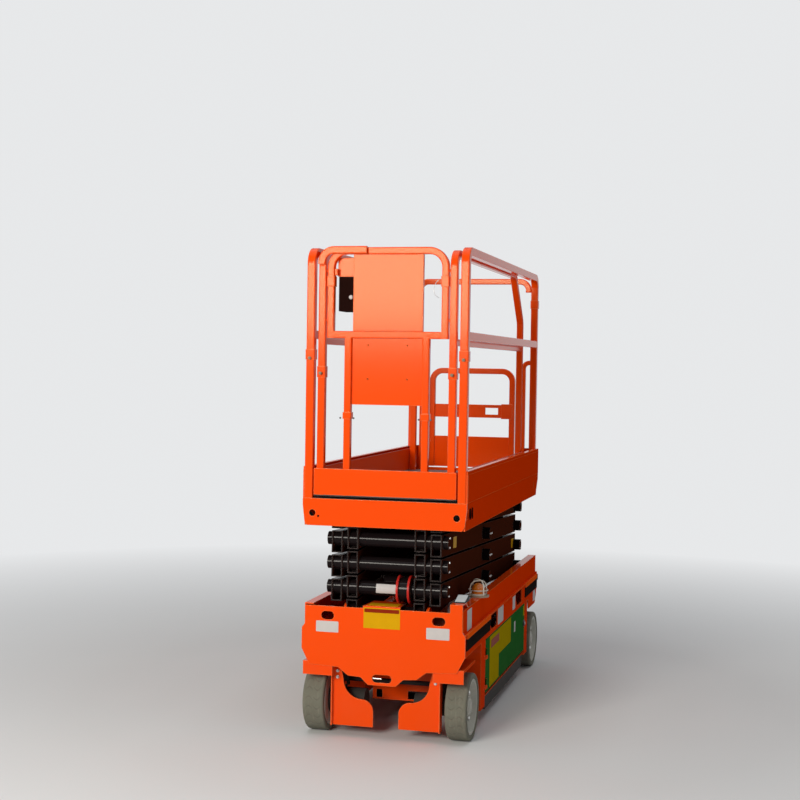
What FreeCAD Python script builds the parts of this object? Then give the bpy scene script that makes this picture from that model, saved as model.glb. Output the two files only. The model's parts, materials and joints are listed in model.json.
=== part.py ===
import FreeCAD, Part
import math
import os

# A narrow self-propelled scissor lift, stowed.
# Millimetres: X across, the front faces -Y, Z up from the floor.
V = FreeCAD.Vector
X, Y, Z = V(1, 0, 0), V(0, 1, 0), V(0, 0, 1)

# Overall
LENGTH = 2070               # platform's front face to the chassis rear plate
STAND_OUT = 12              # lock pins in front, rubber buffers behind
HALF = 380                  # half of the overall width
FRONT = -LENGTH / 2
REAR = LENGTH / 2
FIT = 0.3                   # running clearance at pins and seats

# Wheels and axles
TYRE_R = 152.5
TYRE_W = 100
WHEEL_OUT = HALF + 3        # outer face of a wheel
RIM_R = 126
AXLE_R = 20
FRONT_AXLE = FRONT + 192
REAR_AXLE = REAR - TYRE_R + STAND_OUT - 2
KING_X = WHEEL_OUT - TYRE_W - 43        # king pin, inboard of the wheel
KING_R = 20
POST_R = 28
CARRIER_LOW = 338           # underside of the plate that carries the king pins
CARRIER_T = 12
MOTOR_R = 50
MOTOR_IN = 118
ARM_LEVEL = 214             # top face of the steering arms
TIE_R = 11
TIE_BACK = 70               # tie rod behind the king pins

# Chassis
PAN_Z = 501
PAN_T = 6
SHEET = 6
PLATE_TOP = 605
PLATE_HALF = HALF - 14      # front plate above the ledge
CHANNEL_TOP = 615
CHANNEL_X = HALF - 12       # outer face of the side channel
FLANGE = 42
PANEL_LOW = 400
SKIRT_LOW = 345             # lower edge of the skirt behind the tray
PANEL_X = HALF - 6
POCKETS = (FRONT + 630, FRONT + 1360)   # fork pockets under the ledge, with the open size that follows
POCKET_W = 200
POCKET_H = 72
STRIP_LOW = 450             # rubber strips under the ledge
WALL_Y = FRONT + 418        # wall behind the front wheel
TRAY_REAR = REAR_AXLE - TYRE_R - 110
TRAY_X = 190
TRAY_LOW = 120
SPINE_X = WHEEL_OUT - TYRE_W - 21       # plates that carry the rear stub axles
DOOR_FRONT = FRONT + 534
DOOR_REAR = TRAY_REAR - 14
DOOR_LOW = 142
DOOR_HIGH = 396
DOOR_T = 5
DOOR_HINGE_X = PANEL_X + 6
DOOR_HINGE_Y = DOOR_FRONT - 4
DOOR_HINGE_LEVELS = (DOOR_LOW + 40, DOOR_HIGH - 70)

# Scissor stack
STACKS = 4
PITCH = 110                 # rise of one stack when it is stowed
LEVEL = 575                 # lowest pins
PIVOT_Y = FRONT + 100       # fixed pins at the front
SPAN = LENGTH - 220         # front pins to rear pins when it is stowed
BAR_H = 100
BAR_W = 50
BAR_WALL = 5
BAR_END = 45
INNER_X = 132               # inner face of the inner bars
OUTER_X = INNER_X + BAR_W + 24          # inner face of the outer bars
ABOVE = 10                  # bar's middle above the pin at its low end
BELOW = 13                  # bar's middle below the pin at its high end
PIN_R = 25
BUSH_R = 36
TUBE_R = 32
PIN_OUT = 282               # ends of the front pins' bosses
BOSS_OUT = 296              # ends of the middle and rear pins' bosses
LUG_X = OUTER_X + BAR_W + 3             # platform's pivot lugs
LUG_T = 14
TOP_ANGLE = math.radians(47)            # slope of the arms when the platform is up
LINK = math.hypot(SPAN, PITCH)
TRAVEL = SPAN - LINK * math.cos(TOP_ANGLE)
SLIDE_R = 20
SLIDE_OUT = CHANNEL_X - 11
SLIDE_IN = SLIDE_OUT - 35
SLIDE_H = 64

# Lift cylinder, between the second and the third stack
RAM_FOOT = 124              # foot pin from the second stack's front pins
RAM_HEAD = 110              # head pin short of the third stack's rear pins
RAM_R = 44
RAM_BORE = 37
ROD_R = 25
RAM_PIN = 20
RAM_EAR = 34
DRUM_R = 64                 # hose guide drum round the second stack's front tube
DRUM_X = (52, 112)

# Platform
DECK_LENGTH = LENGTH - 56
SILL_LOW = 970
DECK_Z = 1093
TOE_TOP = 1236
DECK_T = 6
TAPER = 9
RAIL_TOP = 2228
MID_TOP = 1852
TUBE = 19                   # half of the main rails' square tube
TUBE_CORNER = 5
POST_X = HALF - SHEET - TUBE - FIT
REAR_POST = FRONT + DECK_LENGTH - 64
BEND = 55
ARCH_TOP = 1740             # low arches beside the gate
GATE_TOP = 1692
GATE_X = 262                # hinge pin, and half of the gateway
GATE_HINGE_LEVELS = (DECK_Z + 110, DECK_Z + 440)

# Roll-out deck
SLIM = 17                   # half of the roll-out deck's square tube
EXT_HALF = HALF - 51
EXT_LOW = 1110
EXT_TOP = 1229
EXT_LENGTH = 1810
EXT_POST_X = EXT_HALF - 26
EXT_REAR = FRONT + EXT_LENGTH - 40
EXT_RAIL_TOP = 2216
EXT_Y = FRONT + SHEET + FIT + SLIM     # front legs stand behind the toe board
FRAME_HALF = EXT_POST_X - 39
FRAME_TOP = 2227
FRAME_MID = 1834
UPRIGHT_X = FRAME_HALF - 84


def box(x0, x1, y0, y1, z0, z1):
    return Part.makeBox(x1 - x0, y1 - y0, z1 - z0, V(x0, y0, z0))


def rod(start, end, radius):
    start, end = V(*start), V(*end)
    return Part.makeCylinder(radius, (end - start).Length, start, end - start)


def ring(start, end, outer, inner):
    return rod(start, end, outer).cut(rod(start, end, inner))


def mirrored(shape):
    return shape.mirror(V(0, 0, 0), X)


def both(shape):
    """The shape and its mirror image, as solids that don't touch."""
    return Part.makeCompound([shape, mirrored(shape)])


def fused(*shapes):
    return shapes[0].multiFuse(list(shapes[1:])).removeSplitter()


def rounded(points, bend):
    """A wire of straight runs through the points, each corner an arc of the given radius."""
    points = [V(*p) for p in points]
    edges, last = [], points[0]
    for a, b, c in zip(points, points[1:], points[2:]):
        u, w = (a - b).normalize(), (c - b).normalize()
        half = u.getAngle(w) / 2
        reach = bend / math.tan(half)
        middle = b + (u + w).normalize() * (bend / math.sin(half) - bend)
        edges.append(Part.LineSegment(last, b + u * reach).toShape())
        edges.append(Part.Arc(b + u * reach, middle, b + w * reach).toShape())
        last = b + w * reach
    edges.append(Part.LineSegment(last, points[-1]).toShape())
    return Part.Wire(edges)


def bent_tube(points, half, bend):
    """A square tube with rounded edges, swept along straight runs and bends that lie in one plane."""
    path = rounded(points, bend)
    run = (V(*points[1]) - V(*points[0])).normalize()
    turn = V(*points[2]) - V(*points[1])
    across = run.cross(turn).normalize()
    return path.makePipeShell([square(V(*points[0]), across, run.cross(across), half)], True, True)


def square(centre, u, w, half):
    """Outline of the square tube about a point, in the plane of two directions across it."""
    flat = half - TUBE_CORNER
    slant = half - TUBE_CORNER * (1 - math.sqrt(0.5))
    edges = []
    for a, b in ((u, w), (w, u * -1), (u * -1, w * -1), (w * -1, u)):
        start, end = centre + a * half + b * flat, centre + a * flat + b * half
        edges.append(Part.LineSegment(centre + a * half - b * flat, start).toShape())
        edges.append(Part.Arc(start, centre + (a + b) * slant, end).toShape())
    return Part.Wire(edges)


def beam(start, end, half):
    """A straight square tube along one of the axes."""
    start, end = V(*start), V(*end)
    run = (end - start).normalize()
    u = X if abs(run.x) < 0.5 else Y
    return Part.Face(square(start, u, run.cross(u), half)).extrude(end - start)


def plate(points, along, thickness):
    """A flat sheet from its outline, drawn in the plane across the given direction."""
    wire = Part.makePolygon([V(*p) for p in points] + [V(*points[0])])
    return Part.Face(wire).extrude(along * thickness)


def obround(x0, x1, z0, z1, y0, y1):
    """A long hole with round ends, through a plate that faces the front."""
    r = (z1 - z0) / 2
    middle = (z0 + z1) / 2
    ends = [rod((x, y0, middle), (x, y1, middle), r) for x in (x0 + r, x1 - r)]
    return fused(box(x0 + r, x1 - r, y0, y1, z0, z1), *ends)


# Wheels: solid tyres pressed on dished steel rims
def wheel(axle_y, side):
    """Tyre and rim about the axle, modelled on the right and mirrored for the left."""
    x0, x1 = WHEEL_OUT - TYRE_W, WHEEL_OUT
    shoulder, wall = 10, 12
    tyre_outline = [(x0, RIM_R), (x0, TYRE_R - shoulder), (x0 + shoulder, TYRE_R), (x1 - shoulder, TYRE_R),
                    (x1, TYRE_R - shoulder), (x1, RIM_R)]
    dish = 34
    rim_outline = [(x0, AXLE_R + FIT), (x0, RIM_R), (x1 - 4, RIM_R), (x1 - 4, RIM_R - wall),
                   (x1 - dish, RIM_R - wall - 8), (x1 - dish, 46), (x1 - 14, 40), (x1 - 14, AXLE_R + FIT)]
    shapes = []
    for outline in (tyre_outline, rim_outline):
        face = Part.Face(Part.makePolygon([V(x, axle_y, TYRE_R + r) for x, r in outline + outline[:1]]))
        solid = face.revolve(V(0, axle_y, TYRE_R), X, 360)
        shapes.append(solid if side > 0 else mirrored(solid))
    return shapes


def knuckle():
    """Right steering knuckle: king pin, drive motor, stub axle and steering arm."""
    spindle_top = CARRIER_LOW + CARRIER_T + FIT
    face = WHEEL_OUT - TYRE_W
    hub = rod((face - FIT - 16, FRONT_AXLE, TYRE_R), (face - FIT, FRONT_AXLE, TYRE_R), 74)
    motor = rod((MOTOR_IN, FRONT_AXLE, TYRE_R), (face - 16, FRONT_AXLE, TYRE_R), MOTOR_R)
    stub = rod((face - 16, FRONT_AXLE, TYRE_R), (WHEEL_OUT - 14, FRONT_AXLE, TYRE_R), AXLE_R)
    post = rod((KING_X, FRONT_AXLE, TYRE_R), (KING_X, FRONT_AXLE, CARRIER_LOW - FIT), POST_R)
    spindle = rod((KING_X, FRONT_AXLE, CARRIER_LOW - FIT), (KING_X, FRONT_AXLE, spindle_top), KING_R)
    washer = rod((KING_X, FRONT_AXLE, spindle_top), (KING_X, FRONT_AXLE, spindle_top + 8), POST_R)
    arm = box(KING_X - 18, KING_X + 18, FRONT_AXLE, FRONT_AXLE + TIE_BACK, ARM_LEVEL - 14, ARM_LEVEL)
    eye = rod((KING_X, FRONT_AXLE + TIE_BACK, ARM_LEVEL - 14), (KING_X, FRONT_AXLE + TIE_BACK, ARM_LEVEL), 20)
    return fused(hub, motor, stub, post, spindle, washer, arm, eye)


def motor_guard():
    """Right curved guard plate in front of the drive motor, with its turned edge and its stay."""
    y0, t = FRONT + 92, 8
    x0, x1, low, high = 60, 256, 48, 312
    tip, hollow, foot = 54, 88, 118
    turn = x0 + tip
    slant = math.sqrt(0.5)
    edges = [
        Part.LineSegment(V(x0, y0, low), V(x1, y0, low)),
        Part.LineSegment(V(x1, y0, low), V(x1, y0, high)),
        Part.LineSegment(V(x1, y0, high), V(turn + hollow + 12, y0, high)),
        Part.LineSegment(V(turn + hollow + 12, y0, high), V(turn + hollow, y0, foot + tip + hollow)),
        Part.Arc(V(turn + hollow, y0, foot + tip + hollow),
                 V(turn + hollow * slant, y0, foot + tip + hollow * (1 - slant)),
                 V(turn, y0, foot + tip)),
        Part.Arc(V(turn, y0, foot + tip), V(turn - tip * slant, y0, foot + tip * slant), V(x0, y0, foot)),
        Part.LineSegment(V(x0, y0, foot), V(x0, y0, low)),
    ]
    sheet = Part.Face(Part.Wire([e.toShape() for e in edges])).extrude(Y * t)
    turned = box(x1 - 5, x1, y0 - 18, y0 + 30, low, high)
    stay = box(KING_X - 30, KING_X + 8, y0 + t, FRONT_AXLE - 20, ARM_LEVEL + 8, ARM_LEVEL + 20)
    bored = rod((KING_X, FRONT_AXLE, ARM_LEVEL), (KING_X, FRONT_AXLE, ARM_LEVEL + 40), POST_R + FIT)
    return fused(sheet, turned, stay).cut(bored)


def tie_rod():
    y, low = FRONT_AXLE + TIE_BACK, ARM_LEVEL + FIT
    ends = [rod((s * KING_X, y, low), (s * KING_X, y, low + 2 * TIE_R + 4), 18) for s in (-1, 1)]
    return fused(rod((-KING_X, y, low + TIE_R + 2), (KING_X, y, low + TIE_R + 2), TIE_R), *ends)


def front_plate():
    """Cut and bent front plate of the chassis, with its rounded wheel cut-outs and long holes."""
    y0 = FRONT + 12
    right = [(PLATE_HALF, PLATE_TOP), (PLATE_HALF, PAN_Z + PAN_T + 14), (HALF, PAN_Z), (HALF, 408),
             (343, 336), (205, 331), (160, 296), (100, 292), (64, 259)]
    outline = [(x, y0, z) for x, z in right] + [(-x, y0, z) for x, z in reversed(right)]
    sheet = plate(outline, Y, SHEET)
    cover = cover_fold(y0)
    left, right_end, lift, back = -92, 81, PLATE_TOP + 7, y0 + 148
    riser = box(left, right_end, y0, y0 + SHEET, PLATE_TOP, lift + 4)
    tongue = plate([(left, y0, lift), (right_end, y0, lift), (right_end - 12, back, lift),
                    (left + 12, back, lift)], Z, 4)
    holes = [obround(s * 258 - 30, s * 258 + 30, 544, 582, y0 - 1, y0 + SHEET + 1) for s in (-1, 1)]
    slot = obround(-45, 45, 272, 308, y0 - 1, y0 + SHEET + 1)
    return fused(sheet, cover, riser, tongue).cut(Part.makeCompound(holes + [slot]))


def cover_fold(y0):
    """Folded cover over the front end of the right side channel, raised above it."""
    x, low, high, back, t = 309, PLATE_TOP - 20, PLATE_TOP + 33, CHANNEL_TOP + FIT, 5
    profile = [(x, y0, low), (x, y0, high + t), (x, y0 + 80, high + t), (x, y0 + 114, back + t),
               (x, y0 + 126, back + t), (x, y0 + 126, back), (x, y0 + 112, back), (x, y0 + 78, high),
               (x, y0 + SHEET, high), (x, y0 + SHEET, low)]
    side = plate([(x, y0, high), (x, y0 + 78, high), (x, y0 + 112, back), (x, y0, back)], X, t)
    return fused(plate(profile, X, PLATE_HALF - x), side)


def rear_plate():
    """Rear plate with wheel cut-outs, a window and a pressed step."""
    y0, top = REAR - SHEET, PAN_Z + PAN_T + 12
    right = [(HALF - 4, top), (HALF - 4, 420), (HALF - 40, 372), (262, 372), (262, 180), (240, 166)]
    outline = [(x, y0, z) for x, z in right] + [(-x, y0, z) for x, z in reversed(right)]
    sheet = plate(outline, Y, SHEET)
    window = obround(-118, 118, 372, 452, y0 - 1, REAR + 1)
    step = box(-165, 165, y0 - 1, REAR + 1, 236, 318)
    holes = [obround(s * 300 - 34, s * 300 + 34, 398, 430, y0 - 1, REAR + 1) for s in (-1, 1)]
    tread = 92
    pocket = fused(box(-165, 165, y0 - tread, y0 - tread + 4, 236, 318),
                   box(-165, 165, y0 - tread, REAR, 232, 236),
                   box(-165, 165, y0 - tread, REAR, 318, 322), box(-169, -165, y0 - tread, REAR, 232, 322),
                   box(165, 169, y0 - tread, REAR, 232, 322))
    return fused(sheet.cut(Part.makeCompound(holes + [window, step])), pocket)


def pan():
    """Flat pan across the chassis, with the hole for the king pins' washers left clear below it."""
    floor = box(-HALF, HALF, FRONT + 12 + SHEET, REAR - SHEET, PAN_Z, PAN_Z + PAN_T)
    lug_x, lug_t = INNER_X + BAR_W + 5, 12
    lugs = []
    for s in (1, -1):
        lug = box(lug_x, lug_x + lug_t, PIVOT_Y - 36, PIVOT_Y + 70, PAN_Z + PAN_T, LEVEL)
        head = rod((lug_x, PIVOT_Y, LEVEL), (lug_x + lug_t, PIVOT_Y, LEVEL), 36)
        pin = rod((100, PIVOT_Y, LEVEL), (lug_x + lug_t, PIVOT_Y, LEVEL), PIN_R)
        one = fused(lug, head, pin)
        lugs.append(one if s > 0 else mirrored(one))
    return fused(floor, *lugs)


def side_channel():
    """Right side channel above the pan: outer web, top flange and the track for the slide block."""
    y0, y1 = FRONT + 12 + SHEET, REAR - 14
    low = PAN_Z + PAN_T
    web = box(CHANNEL_X - SHEET, CHANNEL_X, y0, y1, low, CHANNEL_TOP)
    top = box(CHANNEL_X - FLANGE, CHANNEL_X, y0, y1, CHANNEL_TOP - SHEET, CHANNEL_TOP)
    track_top = LEVEL - SLIDE_H / 2 - 1
    track = box(SLIDE_IN, CHANNEL_X - SHEET, PIVOT_Y + SPAN - TRAVEL - SLIDE_H, y1, low, track_top)
    return fused(web, top, track)


def side_frame():
    """Right side under the pan: skirt, wheel-arch walls, king pin carrier, tray and axle plate."""
    y0, y1 = FRONT + 12 + SHEET, REAR - SHEET
    skirt = box(PANEL_X - SHEET, PANEL_X, y0, y1, PANEL_LOW, PAN_Z)
    x, high, low = PANEL_X - SHEET - 1, PAN_Z - 8, PAN_Z - 8 - POCKET_H
    for y in POCKETS:
        mouth = [(x, y, high), (x, y + POCKET_W, high), (x, y + POCKET_W, low), (x, y + 44, low),
                 (x, y, high - 30)]
        skirt = skirt.cut(plate(mouth, X, SHEET + 2))
    x, behind = PANEL_X - SHEET, TRAY_REAR + 115
    drop = plate([(x, behind, PANEL_LOW), (x, behind + 20, SKIRT_LOW), (x, y1 - 50, SKIRT_LOW),
                  (x, y1, PANEL_LOW)], X, SHEET)
    wall = box(TRAY_X, PANEL_X, WALL_Y, WALL_Y + 10, 80, PAN_Z)
    post = box(PANEL_X - SHEET, PANEL_X, WALL_Y, DOOR_FRONT - 10, 80, PANEL_LOW)
    rear_wall = box(TRAY_X, PANEL_X, TRAY_REAR - 10, TRAY_REAR, 110, PAN_Z)
    inner = box(TRAY_X, TRAY_X + SHEET, y0, WALL_Y, CARRIER_LOW, PAN_Z)
    carrier = box(TRAY_X, PANEL_X, y0, FRONT_AXLE + 84, CARRIER_LOW, CARRIER_LOW + CARRIER_T)
    wing = box(234, PANEL_X, y0, y0 + SHEET, 288, CARRIER_LOW)
    bore = rod((KING_X, FRONT_AXLE, CARRIER_LOW - 1), (KING_X, FRONT_AXLE, CARRIER_LOW + CARRIER_T + 1),
               KING_R + FIT)
    spine = plate([(SPINE_X, REAR_AXLE - 150, PAN_Z), (SPINE_X, y1, PAN_Z), (SPINE_X, y1, 190),
                   (SPINE_X, REAR_AXLE + 70, 92), (SPINE_X, REAR_AXLE - 70, 92),
                   (SPINE_X, REAR_AXLE - 150, 190)], X * -1, 12)
    stub = rod((SPINE_X - 12, REAR_AXLE, TYRE_R), (WHEEL_OUT - 14, REAR_AXLE, TYRE_R), AXLE_R)
    hub = rod((SPINE_X, REAR_AXLE, TYRE_R), (WHEEL_OUT - TYRE_W - FIT, REAR_AXLE, TYRE_R), 60)
    floor = box(TRAY_X, PANEL_X - SHEET, WALL_Y + 10, TRAY_REAR - 10, TRAY_LOW, TRAY_LOW + 5)
    side = box(TRAY_X, TRAY_X + 4, WALL_Y + 10, TRAY_REAR - 10, TRAY_LOW, PAN_Z)
    for y in POCKETS:
        side = side.cut(box(TRAY_X - 1, TRAY_X + 5, y, y + POCKET_W, low, high))
    return fused(skirt, drop, wall, post, rear_wall, inner, carrier.cut(bore), wing, spine, stub, hub, floor,
                 side, *door_hinge())


def cross_members():
    """Between the two sides: bulkhead with its tongue, rear axle tube and the two fork pockets."""
    y0, wide, tongue = WALL_Y, TRAY_X, 66
    outline = [(-wide, PAN_Z), (wide, PAN_Z), (wide, 196), (tongue, 196), (tongue - 6, 146),
               (6 - tongue, 146), (-tongue, 196), (-wide, 196)]
    bulkhead = plate([(x, y0, z) for x, z in outline], Y, 8)
    axle = rod((-SPINE_X + 12, REAR_AXLE, TYRE_R), (SPINE_X - 12, REAR_AXLE, TYRE_R), 30)
    return [bulkhead, axle] + [fork_pocket(y) for y in POCKETS]


def fork_pocket(y):
    """Folded channel under the pan, from side to side, that takes a fork lift's tine."""
    wide, wall = TRAY_X, 4
    high, low = PAN_Z - 8, PAN_Z - 8 - POCKET_H
    section = [(-wide, y - wall, PAN_Z), (-wide, y - wall, low - wall),
               (-wide, y + POCKET_W + wall, low - wall), (-wide, y + POCKET_W + wall, PAN_Z), (-wide, y + POCKET_W, PAN_Z), (-wide, y + POCKET_W, low),
               (-wide, y, low), (-wide, y, PAN_Z)]
    return plate(section, X, 2 * wide)


def tray_load(height, inset):
    """Block of batteries or pump set on the tray's floor."""
    y0, y1 = DOOR_FRONT + inset, DOOR_REAR - inset
    return box(TRAY_X + 12, PANEL_X - 22, y0, y1, TRAY_LOW + 5, TRAY_LOW + 5 + height)


def tray_door():
    """Right tray door: a folded sheet hung on the vertical pin at its front edge."""
    x1 = PANEL_X
    skin = box(x1 - DOOR_T, x1, DOOR_FRONT, DOOR_REAR, DOOR_LOW, DOOR_HIGH)
    rim = box(x1 - 16, x1 - DOOR_T, DOOR_FRONT + 14, DOOR_REAR - 6, DOOR_LOW + 6, DOOR_HIGH - 6)
    hollow = box(x1 - 17, x1 - DOOR_T, DOOR_FRONT + 18, DOOR_REAR - 10, DOOR_LOW + 10, DOOR_HIGH - 10)
    knuckles = []
    x, y = DOOR_HINGE_X, DOOR_HINGE_Y
    for z in DOOR_HINGE_LEVELS:
        knuckles.append(ring((x, y, z), (x, y, z + 30), 5, 3 + FIT))
        knuckles.append(box(x1 - 2, x + 3, y + 4, DOOR_FRONT + 14, z, z + 30))
    return fused(skin, rim.cut(hollow), *knuckles)


def door_hinge():
    """Right door's hinge pins and their leaves on the post."""
    parts = []
    x, y = DOOR_HINGE_X, DOOR_HINGE_Y
    for z in DOOR_HINGE_LEVELS:
        parts.append(fused(rod((x, y, z - 18), (x, y, z + 30), 3), rod((x, y, z - 18), (x, y, z - FIT), 5),
                           box(PANEL_X - 2, x + 2, y - 30, y - 4, z - 18, z - FIT)))
    return parts


def pothole_guard():
    """Right bar that drops under the tray as the platform rises, with its two guide pads."""
    y0, y1 = WALL_Y + 170, TRAY_REAR - 20
    top = TRAY_LOW - FIT
    bar = box(352, 362, y0, y1, 50, top)
    toe = box(334, 352, y0, y1, 50, 58)
    pads = [box(340, 352, y, y + 60, 90, top) for y in (y0 + 120, y1 - 180)]
    return fused(bar, toe, *pads)


def ladder():
    """Two flat rails on the rear plate and three rungs between them."""
    y0, y1, top = REAR + FIT, REAR + STAND_OUT, SILL_LOW - 18
    x = 166
    rails = [box(s * x - 4, s * x + 4, y0, y1, 226, top) for s in (-1, 1)]
    rungs = [box(-x, x, y0 - 24, y1, z, z + 24) for z in (PAN_Z + 34, PAN_Z + 230, top - 30)]
    return fused(*rails, *rungs)


def buffers():
    """Rubber strips on the rear corners and under the ledges, fore and aft of the fork pockets."""
    rear = box(HALF - 96, HALF, REAR, REAR + STAND_OUT, 470, 500)
    sides = [box(PANEL_X, HALF, y0, y1, STRIP_LOW, PAN_Z)
             for y0, y1 in ((FRONT + 58, POCKETS[0] - 14), (POCKETS[1] + POCKET_W + 95, REAR - 16))]
    pieces = [rear] + sides
    return Part.makeCompound(pieces + [mirrored(piece) for piece in pieces])


def beacon():
    """Amber lamp on its base plate, under a cage of bent wire."""
    x, y, z = CHANNEL_X - FLANGE / 2, FRONT + 455, CHANNEL_TOP
    wire, reach, seat = 3, 46, 8
    base = rod((x, y, z), (x, y, z + seat), reach + 2 * wire)
    collar = 14
    plinth = rod((x, y, z + seat), (x, y, z + collar), 36)
    dome_z, dome_r = z + 33, 31
    dome = Part.makeSphere(dome_r, V(x, y, dome_z), Z, 0, 90, 360)
    lens = rod((x, y, z + collar + FIT), (x, y, dome_z), dome_r).fuse(dome)
    hoops = []
    for turn, high in ((45, 74), (135, 80.5)):
        points = [(x - reach, y, z + 2), (x - reach, y, z + high), (x + reach, y, z + high),
                  (x + reach, y, z + 2)]
        path = rounded(points, 34)
        hoop = path.makePipeShell([Part.Wire([Part.Circle(V(*points[0]), Z, wire).toShape()])], True, True)
        hoop.rotate(V(x, y, z), Z, turn)
        hoops.append(hoop)
    belt = ring((x, y, z + 30), (x, y, z + 34), reach + 2, reach - 2)
    return fused(base, plinth, *hoops, belt), lens.removeSplitter()


# Scissor arms
def front_pin(level):
    return V(0, PIVOT_Y, LEVEL + PITCH * level)


def rear_pin(level):
    return V(0, PIVOT_Y + SPAN, LEVEL + PITCH * level)


def bar(x0, low, high, bores):
    """One hollow bar between its low and high pins, with bushes at the bored pins."""
    run = V(0, high.y - low.y, high.z - low.z)
    sign = 1 if run.y > 0 else -1
    a = low + Z * ABOVE
    b = high - Z * BELOW
    along = (b - a).normalize()
    across = V(0, -along.z, along.y) * sign
    a, b = a - along * BAR_END, b + along * BAR_END
    sections = []
    for h, w in ((BAR_H / 2, 0), (BAR_H / 2 - BAR_WALL, BAR_WALL)):
        corners = [a + across * h, b + across * h, b - across * h, a - across * h]
        sections.append(plate([(x0 + w, c.y, c.z) for c in corners], X, BAR_W - 2 * w))
    tube = sections[0].cut(sections[1])
    middle = (low + high) / 2
    for p, bored in zip((low, middle, high), bores):
        start, end = (x0, p.y, p.z), (x0 + BAR_W, p.y, p.z)
        tube = tube.fuse(rod(start, end, BUSH_R))
        if bored:
            tube = tube.cut(rod(start, end, PIN_R + FIT))
    return tube


def cross_tube(p, half):
    return ring((-half, p.y, p.z), (half, p.y, p.z), TUBE_R, PIN_R + FIT)


def slide_shaft(p, inner):
    """Right half of a slide's shaft and the round block at its end."""
    shaft = rod((inner, p.y, p.z), (SLIDE_IN + 4, p.y, p.z), SLIDE_R)
    return fused(shaft, rod((SLIDE_IN + 4, p.y, p.z), (SLIDE_OUT, p.y, p.z), SLIDE_H / 2))


def inner_arm(k):
    """Inner pair of stack k: low pins in front, high pins behind, joined by cross tubes."""
    low, high = front_pin(k - 1), rear_pin(k)
    last = k == STACKS
    right = bar(INNER_X, low, high, (True, True, not last))
    if last:
        slide_x = INNER_X + BAR_W
        right = fused(right, slide_shaft(high, slide_x))
    tubes = [cross_tube(low, INNER_X), cross_tube(high, INNER_X)]
    shape = fused(right, mirrored(right), *tubes)
    ears = []
    if k == 2:
        foot = ram_foot()
        for s in (-1, 1):
            x = s * (RAM_EAR + 22)
            ears.append(ear(x - 6, low, foot))
        ears.append(rod((-RAM_EAR - 22, foot.y, foot.z), (RAM_EAR + 22, foot.y, foot.z), RAM_PIN))
        shape = fused(shape, *ears, drum(low))
    if k == 3:
        head = ram_head()
        for s in (-1, 1):
            x = s * (RAM_EAR + 8)
            one = ear(x - 6, high, head)
            ears.append(one.cut(rod((x - 7, head.y, head.z), (x + 7, head.y, head.z), RAM_PIN + 1)))
        shape = fused(shape, *ears)
    return shape


def drum(p):
    """Drum with two flanges that guides the hoses round the front tube."""
    x0, x1 = DRUM_X
    flange = 8
    runs = ((x0, x1, DRUM_R - 12), (x0, x0 + flange, DRUM_R), (x1 - flange, x1, DRUM_R))
    return fused(*[ring((a, p.y, p.z), (b, p.y, p.z), r, PIN_R + FIT) for a, b, r in runs])


def ear(x, root, tip):
    """A lug plate from a cross tube to a cylinder's pin."""
    a, b = V(x, root.y, root.z), V(x, tip.y, tip.z)
    side = (b - a).normalize()
    up = V(0, -side.z, side.y) * 30
    web = plate([tuple(p) for p in (a + up, b + up, b - up, a - up)], X, 12)
    head = rod((x, b.y, b.z), (x + 12, b.y, b.z), 36)
    hole = rod((x - 1, a.y, a.z), (x + 13, a.y, a.z), PIN_R + FIT)
    return web.fuse(head).cut(hole)


def outer_arm(k):
    """Outer pair of stack k: high pins in front, low pins behind, with the pins of all three axes."""
    high, low = front_pin(k), rear_pin(k - 1)
    right = bar(OUTER_X, low, high, (False, False, False))
    middle = (low + high) / 2
    reach = INNER_X - 27
    collar = OUTER_X - FIT
    parts = [right]
    for p, where in ((high, "front"), (middle, "middle"), (low, "rear")):
        face = OUTER_X + BAR_W
        boss_end = PIN_OUT if where == "front" else BOSS_OUT
        if where == "front" and k == STACKS:
            parts.append(rod((OUTER_X, p.y, p.z), (LUG_X + LUG_T + FIT, p.y, p.z), PIN_R))
            parts.append(rod((LUG_X + LUG_T + FIT, p.y, p.z), (LUG_X + 22, p.y, p.z), PIN_R + 9))
            continue
        if where == "rear" and k == 1:
            parts.append(slide_shaft(p, face))
            continue
        start = reach if where != "middle" else INNER_X + 2
        parts.append(rod((start, p.y, p.z), (face, p.y, p.z), PIN_R))
        parts.append(rod((INNER_X + BAR_W + FIT, p.y, p.z), (OUTER_X, p.y, p.z), BUSH_R))
        parts.append(rod((face, p.y, p.z), (boss_end, p.y, p.z), PIN_R + 5))
    right = fused(*parts)
    return both(right)


def ram_foot():
    low, high = front_pin(1), rear_pin(2)
    return low + (high - low).normalize() * RAM_FOOT


def ram_head():
    low, high = front_pin(2), rear_pin(3)
    return high - (high - low).normalize() * RAM_HEAD


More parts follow.
